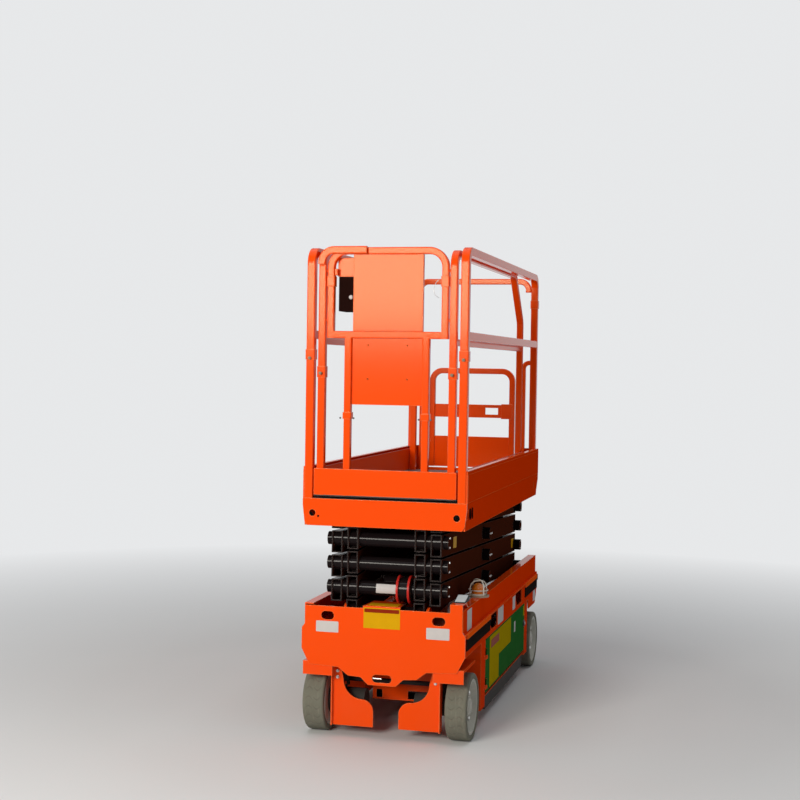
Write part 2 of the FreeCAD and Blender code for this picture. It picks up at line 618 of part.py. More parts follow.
def ram():
    """Lift cylinder's barrel and rod, drawn lying along Y and then laid between its two pins."""
    foot, head = ram_foot(), ram_head()
    length = (head - foot).Length
    mouth = length - 150
    back = 60
    bore = rod((-60, 0, 0), (60, 0, 0), RAM_PIN + FIT)
    eye = rod((-RAM_EAR - 15, 0, 0), (RAM_EAR + 15, 0, 0), 38).cut(bore)
    shell = ring((0, back, 0), (0, mouth, 0), RAM_R, RAM_BORE)
    cap = rod((0, 30, 0), (0, back, 0), RAM_R)
    gland = ring((0, mouth - 60, 0), (0, mouth, 0), RAM_BORE, ROD_R + FIT)
    collar = ring((0, mouth - 30, 0), (0, mouth, 0), RAM_R + 5, ROD_R + FIT)
    barrel = fused(eye, cap.cut(bore), shell, gland, collar)
    stem = rod((0, back + 20, 0), (0, length - 20, 0), ROD_R)
    piston = rod((0, back + 20, 0), (0, back + 60, 0), RAM_BORE - FIT)
    tip = rod((-30, length, 0), (30, length, 0), 34)
    piston_rod = fused(stem, piston, tip)
    slope = math.degrees(math.atan2(head.z - foot.z, head.y - foot.y))
    for shape in (barrel, piston_rod):
        shape.rotate(V(0, 0, 0), X, slope)
        shape.translate(foot)
    return barrel, piston_rod


# Platform
def deck():
    """Deck plate, its beams, the pivot lugs in front and the slide tracks behind."""
    y0, y1 = FRONT + SHEET, FRONT + DECK_LENGTH - SHEET
    top = DECK_Z - DECK_T
    level = front_pin(STACKS)
    edge = HALF - SHEET - 1
    floor = box(-edge, edge, y0, y1, top, DECK_Z)
    track_in, track_out = SLIDE_IN - 14, SLIDE_OUT + 1
    start, end = PIVOT_Y + SPAN - TRAVEL - SLIDE_H, y1
    low, high = level.z - SLIDE_H / 2 - 1, level.z + SLIDE_H / 2 + 1
    side = [
        box(track_in, track_out + 4, start, end, low - 5, low),
        box(track_in, track_out + 4, start, end, high, top),
        box(track_out, track_out + 4, start, end, low - 5, top),
        box(LUG_X, LUG_X + LUG_T, level.y - 40, level.y + 60, level.z, top),
        rod((LUG_X, level.y, level.z), (LUG_X + LUG_T, level.y, level.z), 38),
    ]
    bore = rod((LUG_X - 1, level.y, level.z), (LUG_X + LUG_T + 1, level.y, level.z), PIN_R + FIT)
    right = fused(*side).cut(bore)
    beams = [box(-HALF + SHEET + 12, HALF - SHEET - 12, y, y + 40, top - 4, top)
             for y in (y0 + 300, y0 + 800, y0 + 1250)]
    return fused(floor, right, mirrored(right), *beams)


def side_sill():
    """Right side sheet: upright toe board, then a skirt that leans in below the deck."""
    y0, y1 = FRONT + SHEET, FRONT + DECK_LENGTH - SHEET
    outline = [(HALF, TOE_TOP), (HALF, DECK_Z), (HALF - TAPER, SILL_LOW), (HALF - TAPER - SHEET, SILL_LOW),
               (HALF - SHEET, DECK_Z), (HALF - SHEET, TOE_TOP)]
    sheet = plate([(x, y0, z) for x, z in outline], Y, y1 - y0)
    lip = box(HALF - 22, HALF - SHEET, y0, y1, TOE_TOP - 4, TOE_TOP)
    for y in (FRONT + TUBE, REAR_POST):
        lip = lip.cut(box(POST_X - TUBE - FIT, HALF, y - TUBE - FIT, y + TUBE + FIT,
                          TOE_TOP - 5, TOE_TOP + 1))
    for y, height in ((y0 + 30, 44), (y1 - 130, 34)):
        sheet = sheet.cut(obround_side(y, y + 12, DECK_Z - 74, DECK_Z - 74 + height))
    return fused(sheet, lip)


def obround_side(y0, y1, z0, z1):
    r = (y1 - y0) / 2
    y = (y0 + y1) / 2
    x0, x1 = HALF - 40, HALF + 1
    ends = [rod((x0, y, z), (x1, y, z), r) for z in (z0 + r, z1 - r)]
    return fused(box(x0, x1, y0, y1, z0 + r, z1 - r), *ends)


def end_sill(y0, toes):
    """Front or rear sill: full-width plate whose lower corners lean in, with toe boards where they show."""
    corner = 18
    outline = [(-HALF, DECK_Z), (HALF, DECK_Z), (HALF, DECK_Z - 30), (HALF - TAPER, SILL_LOW + corner),
               (HALF - TAPER - 12, SILL_LOW), (-HALF + TAPER + 12, SILL_LOW),
               (-HALF + TAPER, SILL_LOW + corner), (-HALF, DECK_Z - 30)]
    sheet = plate([(x, y0, z) for x, z in outline], Y, SHEET)
    boards = [box(x0, x1, y0, y0 + SHEET, DECK_Z, TOE_TOP) for x0, x1 in toes]
    x, z = HALF - 46, DECK_Z - 66
    holes = [rod((s * x, y0 - 1, z), (s * x, y0 + SHEET + 1, z), 15) for s in (-1, 1)]
    return fused(sheet, *boards).cut(Part.makeCompound(holes))


def main_rail():
    """Right guard rail: one bent tube for both posts and the top, with a mid rail and sleeves."""
    front_y = FRONT + TUBE
    top, mid = RAIL_TOP - TUBE, MID_TOP - TUBE
    loop = bent_tube([(POST_X, front_y, DECK_Z), (POST_X, front_y, top), (POST_X, REAR_POST, top),
                      (POST_X, REAR_POST, DECK_Z)],
                     TUBE, BEND)
    bar_mid = beam((POST_X, front_y, mid), (POST_X, REAR_POST, mid), TUBE)
    sleeves = [beam((POST_X, y, z), (POST_X, y, z + 46), TUBE + 3)
               for y, z in ((front_y, 1720), (REAR_POST, 2036))]
    return fused(loop, bar_mid, *sleeves)


def rear_rail():
    """Rear of the platform: a top rail with bent ends and a low arch each side of the gate."""
    y, r, thin = REAR_POST, TUBE - 3, TUBE - 6
    inner = GATE_X + 22 + thin
    face = POST_X - TUBE - FIT
    top = RAIL_TOP - 2 * TUBE
    end = top - 62
    wide = face - r
    upper = bent_tube([(-wide, y, end), (-wide, y, top), (wide, y, top), (wide, y, end)], r, 50)
    pieces = [upper]
    for s in (-1, 1):
        arch_z = ARCH_TOP - thin
        arch = bent_tube([(s * face, y, arch_z), (s * inner, y, arch_z), (s * inner, y, DECK_Z + FIT)],
                         thin, 34)
        if s < 0:
            for z in GATE_HINGE_LEVELS:
                pin = rod((-GATE_X, y, z - 20), (-GATE_X, y, z + 40), 5)
                seat = rod((-GATE_X, y, z - 20), (-GATE_X, y, z - FIT), 9)
                arch = fused(arch, pin, seat, box(-inner, -GATE_X, y - 4, y + 4, z - 20, z - FIT))
        pieces.append(arch)
    return Part.makeCompound(pieces)


def gate():
    """Low gate that swings into the platform: a bent tube, a latch bar and a kick plate."""
    r, y = TUBE - 3, REAR_POST
    top, low = GATE_TOP - r, DECK_Z + 28
    x = GATE_X - 12 - r
    loop = bent_tube([(-x, y, low), (-x, y, top), (x, y, top), (x, y, low)], r, 60)
    latch_bar = box(-x, x, y - 3, y + 3, DECK_Z + 315, DECK_Z + 390)
    window = box(x - 155, x - 81, y - 4, y + 4, DECK_Z + 334, DECK_Z + 372)
    case = box(x - 60, x + 4, y - r - 2, y + 12, DECK_Z + 310, DECK_Z + 395)
    kick = box(-x, x, y - 3, y + 3, low, TOE_TOP + 62)
    barrels = []
    for z in GATE_HINGE_LEVELS:
        leaf = box(-GATE_X, -x, y - 4, y + 4, z, z + 40)
        barrels.append(leaf.fuse(rod((-GATE_X, y, z), (-GATE_X, y, z + 40), 9)).cut(
            rod((-GATE_X, y, z), (-GATE_X, y, z + 40), 5 + FIT)))
    return fused(loop, latch_bar.cut(window), case, kick, *barrels)


# Roll-out deck
def ext_deck():
    """Roll-out deck plate on two runners, with its side toe boards."""
    y0, y1 = FRONT + SHEET, FRONT + EXT_LENGTH
    low = EXT_LOW - 7
    floor = box(-EXT_HALF, EXT_HALF, y0, y1, low, low + 5)
    runners = [box(s * 290 - 12, s * 290 + 12, y0 + 60, y1, DECK_Z + FIT, low) for s in (-1, 1)]
    sides = [box(s * EXT_HALF - (4 if s > 0 else 0), s * EXT_HALF + (0 if s > 0 else 4), y0, EXT_REAR + SLIM,
                 low, EXT_TOP)
             for s in (-1, 1)]
    return fused(floor, *runners, *sides)


def ext_toe():
    """Front toe board of the roll-out deck."""
    return box(-EXT_HALF, EXT_HALF, FRONT, FRONT + SHEET, EXT_LOW, EXT_TOP)


def ext_rail():
    """Right rail of the roll-out deck: a bent tube whose rear leg slants in, with a mid rail."""
    x, y0 = EXT_POST_X, EXT_Y
    top = EXT_RAIL_TOP - SLIM
    low = EXT_LOW - 2
    bend = 60
    loop = bent_tube([(x, y0, low), (x, y0, top), (x, EXT_REAR - 240, top), (x, EXT_REAR, 1950),
                      (x, EXT_REAR, low)], SLIM, bend)
    mid = beam((x, y0, FRAME_MID - 30), (x, EXT_REAR, FRAME_MID - 30), SLIM - 2)
    sleeve = beam((x, y0, 1640), (x, y0, 1690), SLIM + 3)
    return fused(loop, mid, sleeve)


def rail_end():
    """Tube from the left roll-out rail's post, bent over and laid flat across the front frame's top."""
    x, y, top = -EXT_POST_X, FRONT - STAND_OUT + FIT + SLIM, FRAME_TOP + 3 - SLIM
    tube = bent_tube([(x, y, 2150), (x, y, top), (-94, y, top)], SLIM, BEND)
    behind = box(x - 2 * SLIM, 0, EXT_Y - SLIM + 1 - FIT, EXT_Y + SLIM, 2100, 2300)
    return tube.cut(behind)


def front_frame():
    """Centre frame of the roll-out deck's front: an upper loop and two uprights in clamps."""
    y, x = EXT_Y, FRAME_HALF
    top = FRAME_TOP - SLIM
    r = SLIM - 1
    loop = bent_tube([(-x, y, FRAME_MID - r), (-x, y, top), (x, y, top), (x, y, FRAME_MID - r)], r, 75)
    low_bar = beam((-x, y, FRAME_MID), (x, y, FRAME_MID), r)
    uprights = [beam((s * UPRIGHT_X, y, EXT_LOW - 2), (s * UPRIGHT_X, y, FRAME_MID), r) for s in (-1, 1)]
    clamps = [beam((s * UPRIGHT_X, y, 1455), (s * UPRIGHT_X, y, 1485), r + 4) for s in (-1, 1)]
    sleeves = [beam((s * x, y, 2050), (s * x, y, 2096), r + 3) for s in (-1, 1)]
    end = EXT_POST_X - SLIM - FIT
    ties = [rod((s * x, y, z), (s * end, y, z), 7) for s in (-1, 1) for z in (1900, 2120)]
    return fused(loop, low_bar, *uprights, *clamps, *sleeves, *ties)


def panels():
    """Upper and lower sheet panels of the front frame."""
    y = EXT_Y
    gap = SLIM - 1 + FIT
    upper = box(-160, 162, y - 6, y - 2, FRAME_MID + gap, FRAME_TOP - SLIM - gap)
    flange = box(158, 162, y - 2, y + 16, FRAME_MID + gap, FRAME_TOP - SLIM - gap)
    inner = UPRIGHT_X - gap
    lower = box(-inner, inner, y, y + 3, 1520, FRAME_MID - gap)
    return upper.fuse(flange), lower


def control_box():
    """Control box on its plate, inside the front left corner of the roll-out deck."""
    y = EXT_Y + SLIM + 4
    body = box(-236, -150, y, y + 120, 1940, 2096 - FIT)
    hood = plate([(-240, y - 2, 2096), (-240, y + 126, 2096), (-240, y + 126, 2130), (-240, y - 2, 2180)],
                 X, 96)
    arm = box(-FRAME_HALF + SLIM - 1 + FIT, -236, EXT_Y - 8, y + 20, 2100, 2130)
    return body, hood.fuse(arm)


def lock_pins():
    """Lock pins of the folding rails, which stand out in front."""
    spots = [(POST_X, 1727), (EXT_POST_X, 1659)]
    fronts = (FRONT - 3, EXT_Y - SLIM - 3)
    pins = []
    for (x, z), face in zip(spots, fronts):
        pins += [rod((s * x, FRONT - STAND_OUT, z), (s * x, face - FIT, z), 7) for s in (-1, 1)]
    return pins


def right_and_left(name, shape):
    return {name + "_right": shape, name + "_left": mirrored(shape)}


def build():
    nodes = {}
    for place, y in (("front", FRONT_AXLE), ("rear", REAR_AXLE)):
        for name, side in (("left", -1), ("right", 1)):
            tyre, rim = wheel(y, side)
            nodes["tyre_%s_%s" % (place, name)] = tyre
            nodes["rim_%s_%s" % (place, name)] = rim
    nodes.update(right_and_left("knuckle", knuckle()))
    nodes.update(right_and_left("motor_guard", motor_guard()))
    nodes["tie_rod"] = tie_rod()

    nodes["front_plate"] = front_plate()
    nodes["rear_plate"] = rear_plate()
    nodes["chassis_pan"] = pan()
    nodes["chassis_beams"] = Part.makeCompound(cross_members())
    nodes.update(right_and_left("side_channel", side_channel()))
    nodes.update(right_and_left("side_frame", side_frame()))
    nodes["tray_blocks"] = Part.makeCompound([tray_load(250, 60), mirrored(tray_load(210, 180))])
    nodes.update(right_and_left("tray_door", tray_door()))
    nodes.update(right_and_left("pothole_guard", pothole_guard()))
    nodes["ladder"] = ladder()
    nodes["buffers"] = buffers()
    nodes["beacon_mount"], nodes["beacon_lens"] = beacon()

    for k in range(1, STACKS + 1):
        nodes["inner_arm_%d" % k] = inner_arm(k)
        nodes["outer_arm_%d" % k] = outer_arm(k)
    nodes["ram_barrel"], nodes["ram_rod"] = ram()

    nodes["deck"] = deck()
    nodes.update(right_and_left("side_sill", side_sill()))
    nodes["front_sill"] = end_sill(FRONT, [])
    gap = GATE_X + 4
    nodes["rear_sill"] = end_sill(FRONT + DECK_LENGTH - SHEET, [(-HALF, -gap), (gap, HALF)])
    nodes.update(right_and_left("main_rail", main_rail()))
    nodes["rear_rail"] = rear_rail()
    nodes["gate"] = gate()

    nodes["ext_deck"] = ext_deck()
    nodes["ext_toe_board"] = ext_toe()
    nodes.update(right_and_left("ext_rail", ext_rail()))
    nodes["ext_rail_left"] = fused(nodes["ext_rail_left"], rail_end())
    nodes["front_frame"] = front_frame()
    nodes["upper_panel"], nodes["lower_panel"] = panels()
    nodes["control_box"], nodes["control_shroud"] = control_box()
    main_left, main_right, ext_left, ext_right = lock_pins()
    nodes["lock_pins_main"] = Part.makeCompound([main_left, main_right])
    nodes["lock_pins_ext"] = Part.makeCompound([ext_left, ext_right])
    return nodes


os.makedirs("parts", exist_ok=True)
for node, shape in build().items():
    shape.exportStep("parts/%s.step" % node)
    print(node, len(shape.Solids), shape.isValid(), round(shape.Volume / 1e6, 2))
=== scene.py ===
import json
import math

import bmesh
import bpy
from mathutils import Matrix, Vector


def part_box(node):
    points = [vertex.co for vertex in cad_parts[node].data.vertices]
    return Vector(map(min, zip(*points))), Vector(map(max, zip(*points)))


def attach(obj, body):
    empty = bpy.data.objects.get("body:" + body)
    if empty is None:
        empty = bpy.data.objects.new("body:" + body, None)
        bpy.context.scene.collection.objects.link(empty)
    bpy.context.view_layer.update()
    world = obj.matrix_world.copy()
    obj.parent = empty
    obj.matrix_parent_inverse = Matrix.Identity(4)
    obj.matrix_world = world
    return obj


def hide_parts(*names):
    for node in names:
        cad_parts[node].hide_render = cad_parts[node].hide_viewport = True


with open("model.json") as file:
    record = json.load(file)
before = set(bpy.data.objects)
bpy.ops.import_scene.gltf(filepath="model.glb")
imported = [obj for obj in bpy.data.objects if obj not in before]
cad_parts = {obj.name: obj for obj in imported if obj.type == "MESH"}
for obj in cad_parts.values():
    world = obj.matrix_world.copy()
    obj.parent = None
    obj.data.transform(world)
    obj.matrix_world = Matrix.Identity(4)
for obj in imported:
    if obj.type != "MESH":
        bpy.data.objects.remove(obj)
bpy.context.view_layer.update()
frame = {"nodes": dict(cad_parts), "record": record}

# Studio: a pale floor, one large soft lamp ahead on the left whose lower edge ends the glare on the
# upper sheet and rails, a wide one overhead and a weak one from the right. The camera stands at
# head height in front of the machine, a little to its right.
IMAGE_PX = 800
FOCAL_PX = 1436
SENSOR_MM = 36
CAMERA_AT = Vector((1.649, -7.224, 1.69))
YAW, PITCH_DOWN, ROLL = math.radians(14.41), math.radians(1.34), math.radians(0.895)
PRINCIPAL_POINT = (398, 401)
PALE = (0.80, 0.81, 0.82, 1)
DAYLIGHT = (0.98, 0.99, 1.0, 1)
AMBIENT = 0.17

sight = Vector((-math.sin(YAW) * math.cos(PITCH_DOWN), math.cos(YAW) * math.cos(PITCH_DOWN),
                -math.sin(PITCH_DOWN)))
level = Vector((math.cos(YAW), math.sin(YAW), 0))
upright = level.cross(sight)
right = level * math.cos(ROLL) + upright * math.sin(ROLL)
above = upright * math.cos(ROLL) - level * math.sin(ROLL)

camera_data = bpy.data.cameras.new("camera")
camera_data.sensor_width = SENSOR_MM
camera_data.lens = FOCAL_PX * SENSOR_MM / IMAGE_PX
camera_data.shift_x = (IMAGE_PX / 2 - PRINCIPAL_POINT[0]) / IMAGE_PX
camera_data.shift_y = (PRINCIPAL_POINT[1] - IMAGE_PX / 2) / IMAGE_PX
camera = bpy.data.objects.new("camera", camera_data)
camera.matrix_world = Matrix.Translation(CAMERA_AT) @ Matrix((right, above, -sight)).transposed().to_4x4()
bpy.context.collection.objects.link(camera)
bpy.context.scene.camera = camera
bpy.context.scene.view_settings.view_transform = "Standard"


def soft_lamp(name, at, towards, width, height, power, colour=(1, 1, 1)):
    """A rectangular lamp that faces a point."""
    data = bpy.data.lights.new(name, "AREA")
    data.shape = "RECTANGLE"
    data.color = colour
    data.size, data.size_y, data.energy = width, height, power
    lamp = bpy.data.objects.new(name, data)
    lamp.location = at
    lamp.rotation_mode = "QUATERNION"
    lamp.rotation_quaternion = (Vector(towards) - Vector(at)).to_track_quat("-Z", "Y")
    bpy.context.collection.objects.link(lamp)


soft_lamp("lamp_front_left", at=(-1.9, -7.6, 3.0), towards=(-1.9, 0, 3.0), width=2.8, height=2.0, power=450,
          colour=(1.0, 0.95, 0.86))
soft_lamp("lamp_overhead", at=(0, -0.5, 9.6), towards=(0, 0, 0), width=8.4, height=8.4, power=300)
soft_lamp("lamp_right", at=(7.5, -2.0, 3.0), towards=(0, 0, 1.0), width=3.0, height=3.0, power=20)


class Wire:
    """One socket of a node tree, which adds Math nodes when it is used in a sum."""

    def __init__(self, recipe, socket):
        self.recipe = recipe
        self.socket = socket

    def math(self, operation, *values):
        return self.recipe.node("ShaderNodeMath", {"operation": operation}, dict(enumerate(values)))

    def shaped(self, operation):
        """Maths on this wire alone, such as a sine."""
        return self.math(operation, self)

    def __add__(self, other):
        return self.math("ADD", self, other)

    def __radd__(self, other):
        return self.math("ADD", other, self)

    def __sub__(self, other):
        return self.math("SUBTRACT", self, other)

    def __rsub__(self, other):
        return self.math("SUBTRACT", other, self)

    def __mul__(self, other):
        return self.math("MULTIPLY", self, other)

    def __rmul__(self, other):
        return self.math("MULTIPLY", other, self)

    def __truediv__(self, other):
        return self.math("DIVIDE", self, other)

    def clamp(self):
        return self.math("MINIMUM", self.math("MAXIMUM", self, 0.0), 1.0)


class Recipe:
    """A node tree in the making. Every node that isn't a sum comes from its one method."""

    def __init__(self, tree):
        self.tree = tree

    def node(self, kind, settings=None, sockets=None, out=0):
        """Adds a node: its settings first, then the values or wires of its sockets, by name or number."""
        made = self.tree.nodes.new(kind)
        for name, value in (settings or {}).items():
            setattr(made, name, value)
        for name, value in (sockets or {}).items():
            socket = self.pick(made.inputs, name)
            for one in value if isinstance(value, list) else [value]:
                if isinstance(one, Wire):
                    self.tree.links.new(one.socket, socket)
                else:
                    socket.default_value = one
        return Wire(self, self.pick(made.outputs, out)) if len(made.outputs) else made

    @staticmethod
    def pick(sockets, name):
        """A socket in use by its name, or by its number among those in use."""
        used = [s for s in sockets if s.enabled]
        return used[name] if isinstance(name, int) else next(s for s in used if s.name == name)


def background_rays(recipe):
    """1 for rays from the camera, from gloss and through glass, which see the plain background."""
    rays = [recipe.node("ShaderNodeLightPath", out=f"Is {ray} Ray") for ray in ("Camera", "Glossy", "Transmission")]
    return (rays[0] + rays[1] + rays[2]).clamp()


world = bpy.data.worlds.new("studio")
bpy.context.scene.world = world
world.use_nodes = True
world.node_tree.nodes.clear()
air = Recipe(world.node_tree)
light = air.node("ShaderNodeBackground", {}, {"Color": DAYLIGHT, "Strength": AMBIENT})
backdrop = air.node("ShaderNodeBackground", {}, {"Color": PALE, "Strength": 1.0})
chosen = air.node("ShaderNodeMixShader", {}, {0: background_rays(air), 1: light, 2: backdrop})
air.node("ShaderNodeOutputWorld", {}, {"Surface": chosen})


def finish(name, **fixed):
    """A new material, its recipe, and its main shader with the values that are the same all over."""
    material = bpy.data.materials.new(name)
    material.use_nodes = True
    material.node_tree.nodes.clear()
    recipe = Recipe(material.node_tree)
    values = {socket.replace("_", " "): value for socket, value in fixed.items()}
    coat = recipe.node("ShaderNodeBsdfPrincipled", {}, values)
    recipe.node("ShaderNodeOutputMaterial", {}, {"Surface": coat})
    return material, recipe, coat.socket.node


def feed(recipe, shader, **wires):
    """Joins what changes over the surface to the shader's sockets."""
    for socket, wire in wires.items():
        recipe.tree.links.new(wire.socket, shader.inputs[socket.replace("_", " ")])


def own_place(recipe):
    """Where a point is in the machine's own space."""
    return recipe.node("ShaderNodeTexCoord", out="Object")


def blend(recipe, amount, first, second):
    """A colour between two others."""
    sockets = {"Factor": amount, "A": first, "B": second}
    return recipe.node("ShaderNodeMix", {"data_type": "RGBA"}, sockets, "Result")


def toned(colour, share):
    """A colour made darker or lighter."""
    return tuple(c * share for c in colour[:3]) + (1,)


def noise(recipe, where, scale, detail=2.0, stretch=(1, 1, 1)):
    """Cloudy noise from 0 to 1."""
    if stretch != (1, 1, 1):
        where = recipe.node("ShaderNodeVectorMath", {"operation": "MULTIPLY"}, {0: where, 1: stretch})
    return recipe.node("ShaderNodeTexNoise", {}, {"Vector": where, "Scale": scale, "Detail": detail}, "Fac")


def bumped(recipe, height, distance, normal=None):
    """A bump of a given depth in metres."""
    sockets = {"Strength": 1.0, "Distance": distance, "Height": height}
    if normal is not None:
        sockets["Normal"] = normal
    return recipe.node("ShaderNodeBump", {}, sockets, "Normal")


FADE_START, FADE_WIDTH, REACH = 1.8, 4.5, 70
FLOOR_GREYS = ((0.72, 0.73, 0.74, 1), (0.78, 0.79, 0.8, 1))
floor_finish, ground, floor_shader = finish("floor", Roughness=0.9, Specular_IOR_Level=0.1)
ground_place = own_place(ground)
feed(ground, floor_shader, Base_Color=blend(ground, noise(ground, ground_place, 0.6), *FLOOR_GREYS))
far = ground.node("ShaderNodeVectorMath", {"operation": "LENGTH"}, {0: ground_place}, "Value")
faded = ((far - FADE_START) / FADE_WIDTH).clamp() * background_rays(ground)
haze = ground.node("ShaderNodeEmission", {}, {"Color": PALE, "Strength": 1.0})
lit = Wire(ground, floor_shader.outputs[0])
ground_mix = ground.node("ShaderNodeMixShader", {}, {0: faded, 1: lit, 2: haze})
ground_end = next(n for n in floor_finish.node_tree.nodes if n.type == "OUTPUT_MATERIAL")
floor_finish.node_tree.links.new(ground_mix.socket, ground_end.inputs[0])
floor_mesh = bpy.data.meshes.new("floor")
floor_corners = [(-REACH, -REACH, 0), (REACH, -REACH, 0), (REACH, REACH, 0), (-REACH, REACH, 0)]
floor_mesh.from_pydata(floor_corners, [], [(0, 1, 2, 3)])
floor_mesh.materials.append(floor_finish)
floor = bpy.data.objects.new("floor", floor_mesh)
bpy.context.collection.objects.link(floor)

# Orange paint: thick new spray paint over bent and welded sheet and tube. It has a fine orange
# peel, painted highlights as pale lines along the rounded edges, and a little brown dust low on the
# chassis. The front and the tubes are glossy, and the long side sheets and the rear are a dull coat
# whose sideways faces are painted a darker orange as painted shade.
ORANGE = (0.90, 0.068, 0.0006, 1)
ORANGE_HIGHLIGHT = (1.0, 0.33, 0.11, 1)
ORANGE_SIDE_SHADE = (0.80, 0.045, 0.0004, 1)
WARM_GLINT = (1.0, 0.90, 0.60, 1)
DUST = (0.25, 0.20, 0.15, 1)
EDGE_RADIUS = 0.0045
CLOUD_SCALE, DUST_SCALE, SPECK_SCALE, PEEL_SCALE = 2.2, 9.0, 90.0, 420.0
BAND_SHARPNESS = 4000.0


def painted(name, colour, highlight_colour, roughness, level, grime, peel=0.000012, highlight_strength=1.0, tone=0.06, coat=0.0,
            side_light_colour=None, bands=(), tint=(1, 1, 1, 1)):
    """Sprayed paint with cloudy tone, orange peel, painted highlights along the edges and dust that gathers low down.

    On faces that look sideways the side-light colour is painted in and the coat is taken off, and faces that look up
    get more coat.
    The side-light colour is painted shade on the dull orange and a painted reflection on the black arms. Bands change
    the colour above a height.
    """
    material, recipe, shader = finish(name, Specular_IOR_Level=level, Specular_Tint=tint, Coat_Roughness=0.10)
    place = own_place(recipe)
    height = recipe.node("ShaderNodeSeparateXYZ", {}, {0: place}, "Z")
    cloud = noise(recipe, place, CLOUD_SCALE, 4.0)
    speck = noise(recipe, place, SPECK_SCALE, 3.0)
    rounded = recipe.node("ShaderNodeBevel", {"samples": 4}, {"Radius": EDGE_RADIUS}, "Normal")
    flat = recipe.node("ShaderNodeNewGeometry", {}, {}, "Normal")
    facing = recipe.node("ShaderNodeVectorMath", {"operation": "DOT_PRODUCT"}, {0: rounded, 1: flat}, "Value")
    # Pale highlight colour mixed in on rounded edges, from the bevel mask: painted highlights.
    edge_highlight = ((1.0 - facing) * (5.0 * highlight_strength)).clamp()
    paint = blend(recipe, (cloud * 1.6 - 0.3).clamp(), toned(colour, 1 - tone), colour)
    for band_level, upper in bands:
        paint = blend(recipe, ((height - band_level) * BAND_SHARPNESS).clamp(), paint, upper)
    gloss = None
    if side_light_colour:
        own_normal = recipe.node("ShaderNodeTexCoord", out="Normal")
        sideways = recipe.node("ShaderNodeSeparateXYZ", {}, {0: own_normal}, "X").shaped("ABSOLUTE")
        upward = recipe.node("ShaderNodeSeparateXYZ", {}, {0: own_normal}, "Z").clamp()
        # Sideways faces take the side-light colour that each finish gives: painted shade on the dull orange, a painted
        # reflection on the black arms.
        paint = blend(recipe, (sideways * 1.5 - 0.5).clamp(), paint, side_light_colour)
        gloss = coat * ((1.3 - sideways * 1.6).clamp() + upward * 1.6)
    paint = blend(recipe, edge_highlight * (0.55 + speck * 0.4), paint, highlight_colour)
    low = (1.0 - height * 1.9).clamp()
    dusty = (low * (noise(recipe, place, DUST_SCALE, 5.0) * 1.7 - 0.35).clamp() * grime).clamp()
    feed(recipe, shader,
         Base_Color=blend(recipe, dusty, paint, DUST),
         Roughness=(roughness + (speck - 0.5) * 0.04 + dusty * 0.45).clamp(),
         Normal=bumped(recipe, noise(recipe, place, PEEL_SCALE, 2.0), peel, rounded))
    if gloss:
        feed(recipe, shader, Coat_Weight=gloss * (1.0 - dusty))
    return material


orange = painted("orange_gloss", ORANGE, ORANGE_HIGHLIGHT, roughness=0.14, level=0.156, grime=0.06, tint=WARM_GLINT)
# Its sideways faces are painted a darker orange: painted shade.
orange_dull_side_shaded = painted("orange_dull_side_shaded", ORANGE, ORANGE_HIGHLIGHT, roughness=0.55, level=0.0, grime=0.15, coat=0.25,
                      side_light_colour=ORANGE_SIDE_SHADE)
DULL_NODES = ("side_sill", "side_channel", "side_frame", "rear_plate", "ladder", "chassis_pan", "rear_sill")

# Tyres: solid warm grey rubber pressed on the rims, with shallow curved grooves across the
# tread. Each is one lathed ring whose grooves are sunk by a rule in angle and width.
RUBBER_GREY = (0.152, 0.150, 0.116, 1)
SCUFFED_GREY = (0.30, 0.28, 0.235, 1)
GROOVE_DARK = (0.07, 0.062, 0.05, 1)
WHEEL_X, TYRE_R, TYRE_W, RIM_R, SHOULDER = 0.283, 0.1525, 0.100, 0.1263, 0.010
SIDE_WALL = [(0.003, RIM_R), (0.0008, RIM_R + 0.002), (0.0, 0.130), (0.0, 0.1325), (0.0012, 0.134), (0.0012, 0.1375),
             (0.0, 0.139)]
TYRE_STEPS = 480
TREAD_COLUMNS = 30
TREAD = {"Grooves": 22.0, "Depth": 0.0013, "Sweep": 0.42, "Seed": 4}
AXLES = {"front": -0.843, "rear": 0.8925}
SIDES = {"right": 1, "left": -1}


def new_rule(name, inputs):
    """An empty Geometry Nodes tree with named inputs, as its recipe and the wires of the inputs."""
    tree = bpy.data.node_groups.new(name, "GeometryNodeTree")
    tree.interface.new_socket("Geometry", in_out="INPUT", socket_type="NodeSocketGeometry")
    for title, value in inputs.items():
        kind = {float: "NodeSocketFloat", int: "NodeSocketInt"}.get(type(value), "NodeSocketMaterial")
        socket = tree.interface.new_socket(title, in_out="INPUT", socket_type=kind)
        if value is not None:
            socket.default_value = value
    tree.interface.new_socket("Geometry", in_out="OUTPUT", socket_type="NodeSocketGeometry")
    recipe = Recipe(tree)
    given = recipe.node("NodeGroupInput").socket.node
    return recipe, {s.name: Wire(recipe, s) for s in given.outputs if s.name}


def end_rule(recipe, geometry, surface):
    """Ends a rule: its copies are made real and take their finish."""
    real = recipe.node("GeometryNodeRealizeInstances", {}, {"Geometry": geometry})
    coated = recipe.node("GeometryNodeSetMaterial", {}, {"Geometry": real, "Material": surface})
    recipe.node("NodeGroupOutput", {}, {"Geometry": coated})


def attribute(recipe, name, kind="FLOAT"):
    """A value that the mesh carries at its points."""
    return recipe.node("GeometryNodeInputNamedAttribute", {"data_type": kind}, {"Name": name}, "Attribute")


def chance(recipe, low, high, seed):
    """A random number for each point."""
    return recipe.node("FunctionNodeRandomValue", {"data_type": "FLOAT"}, {"Min": low, "Max": high, "Seed": seed})


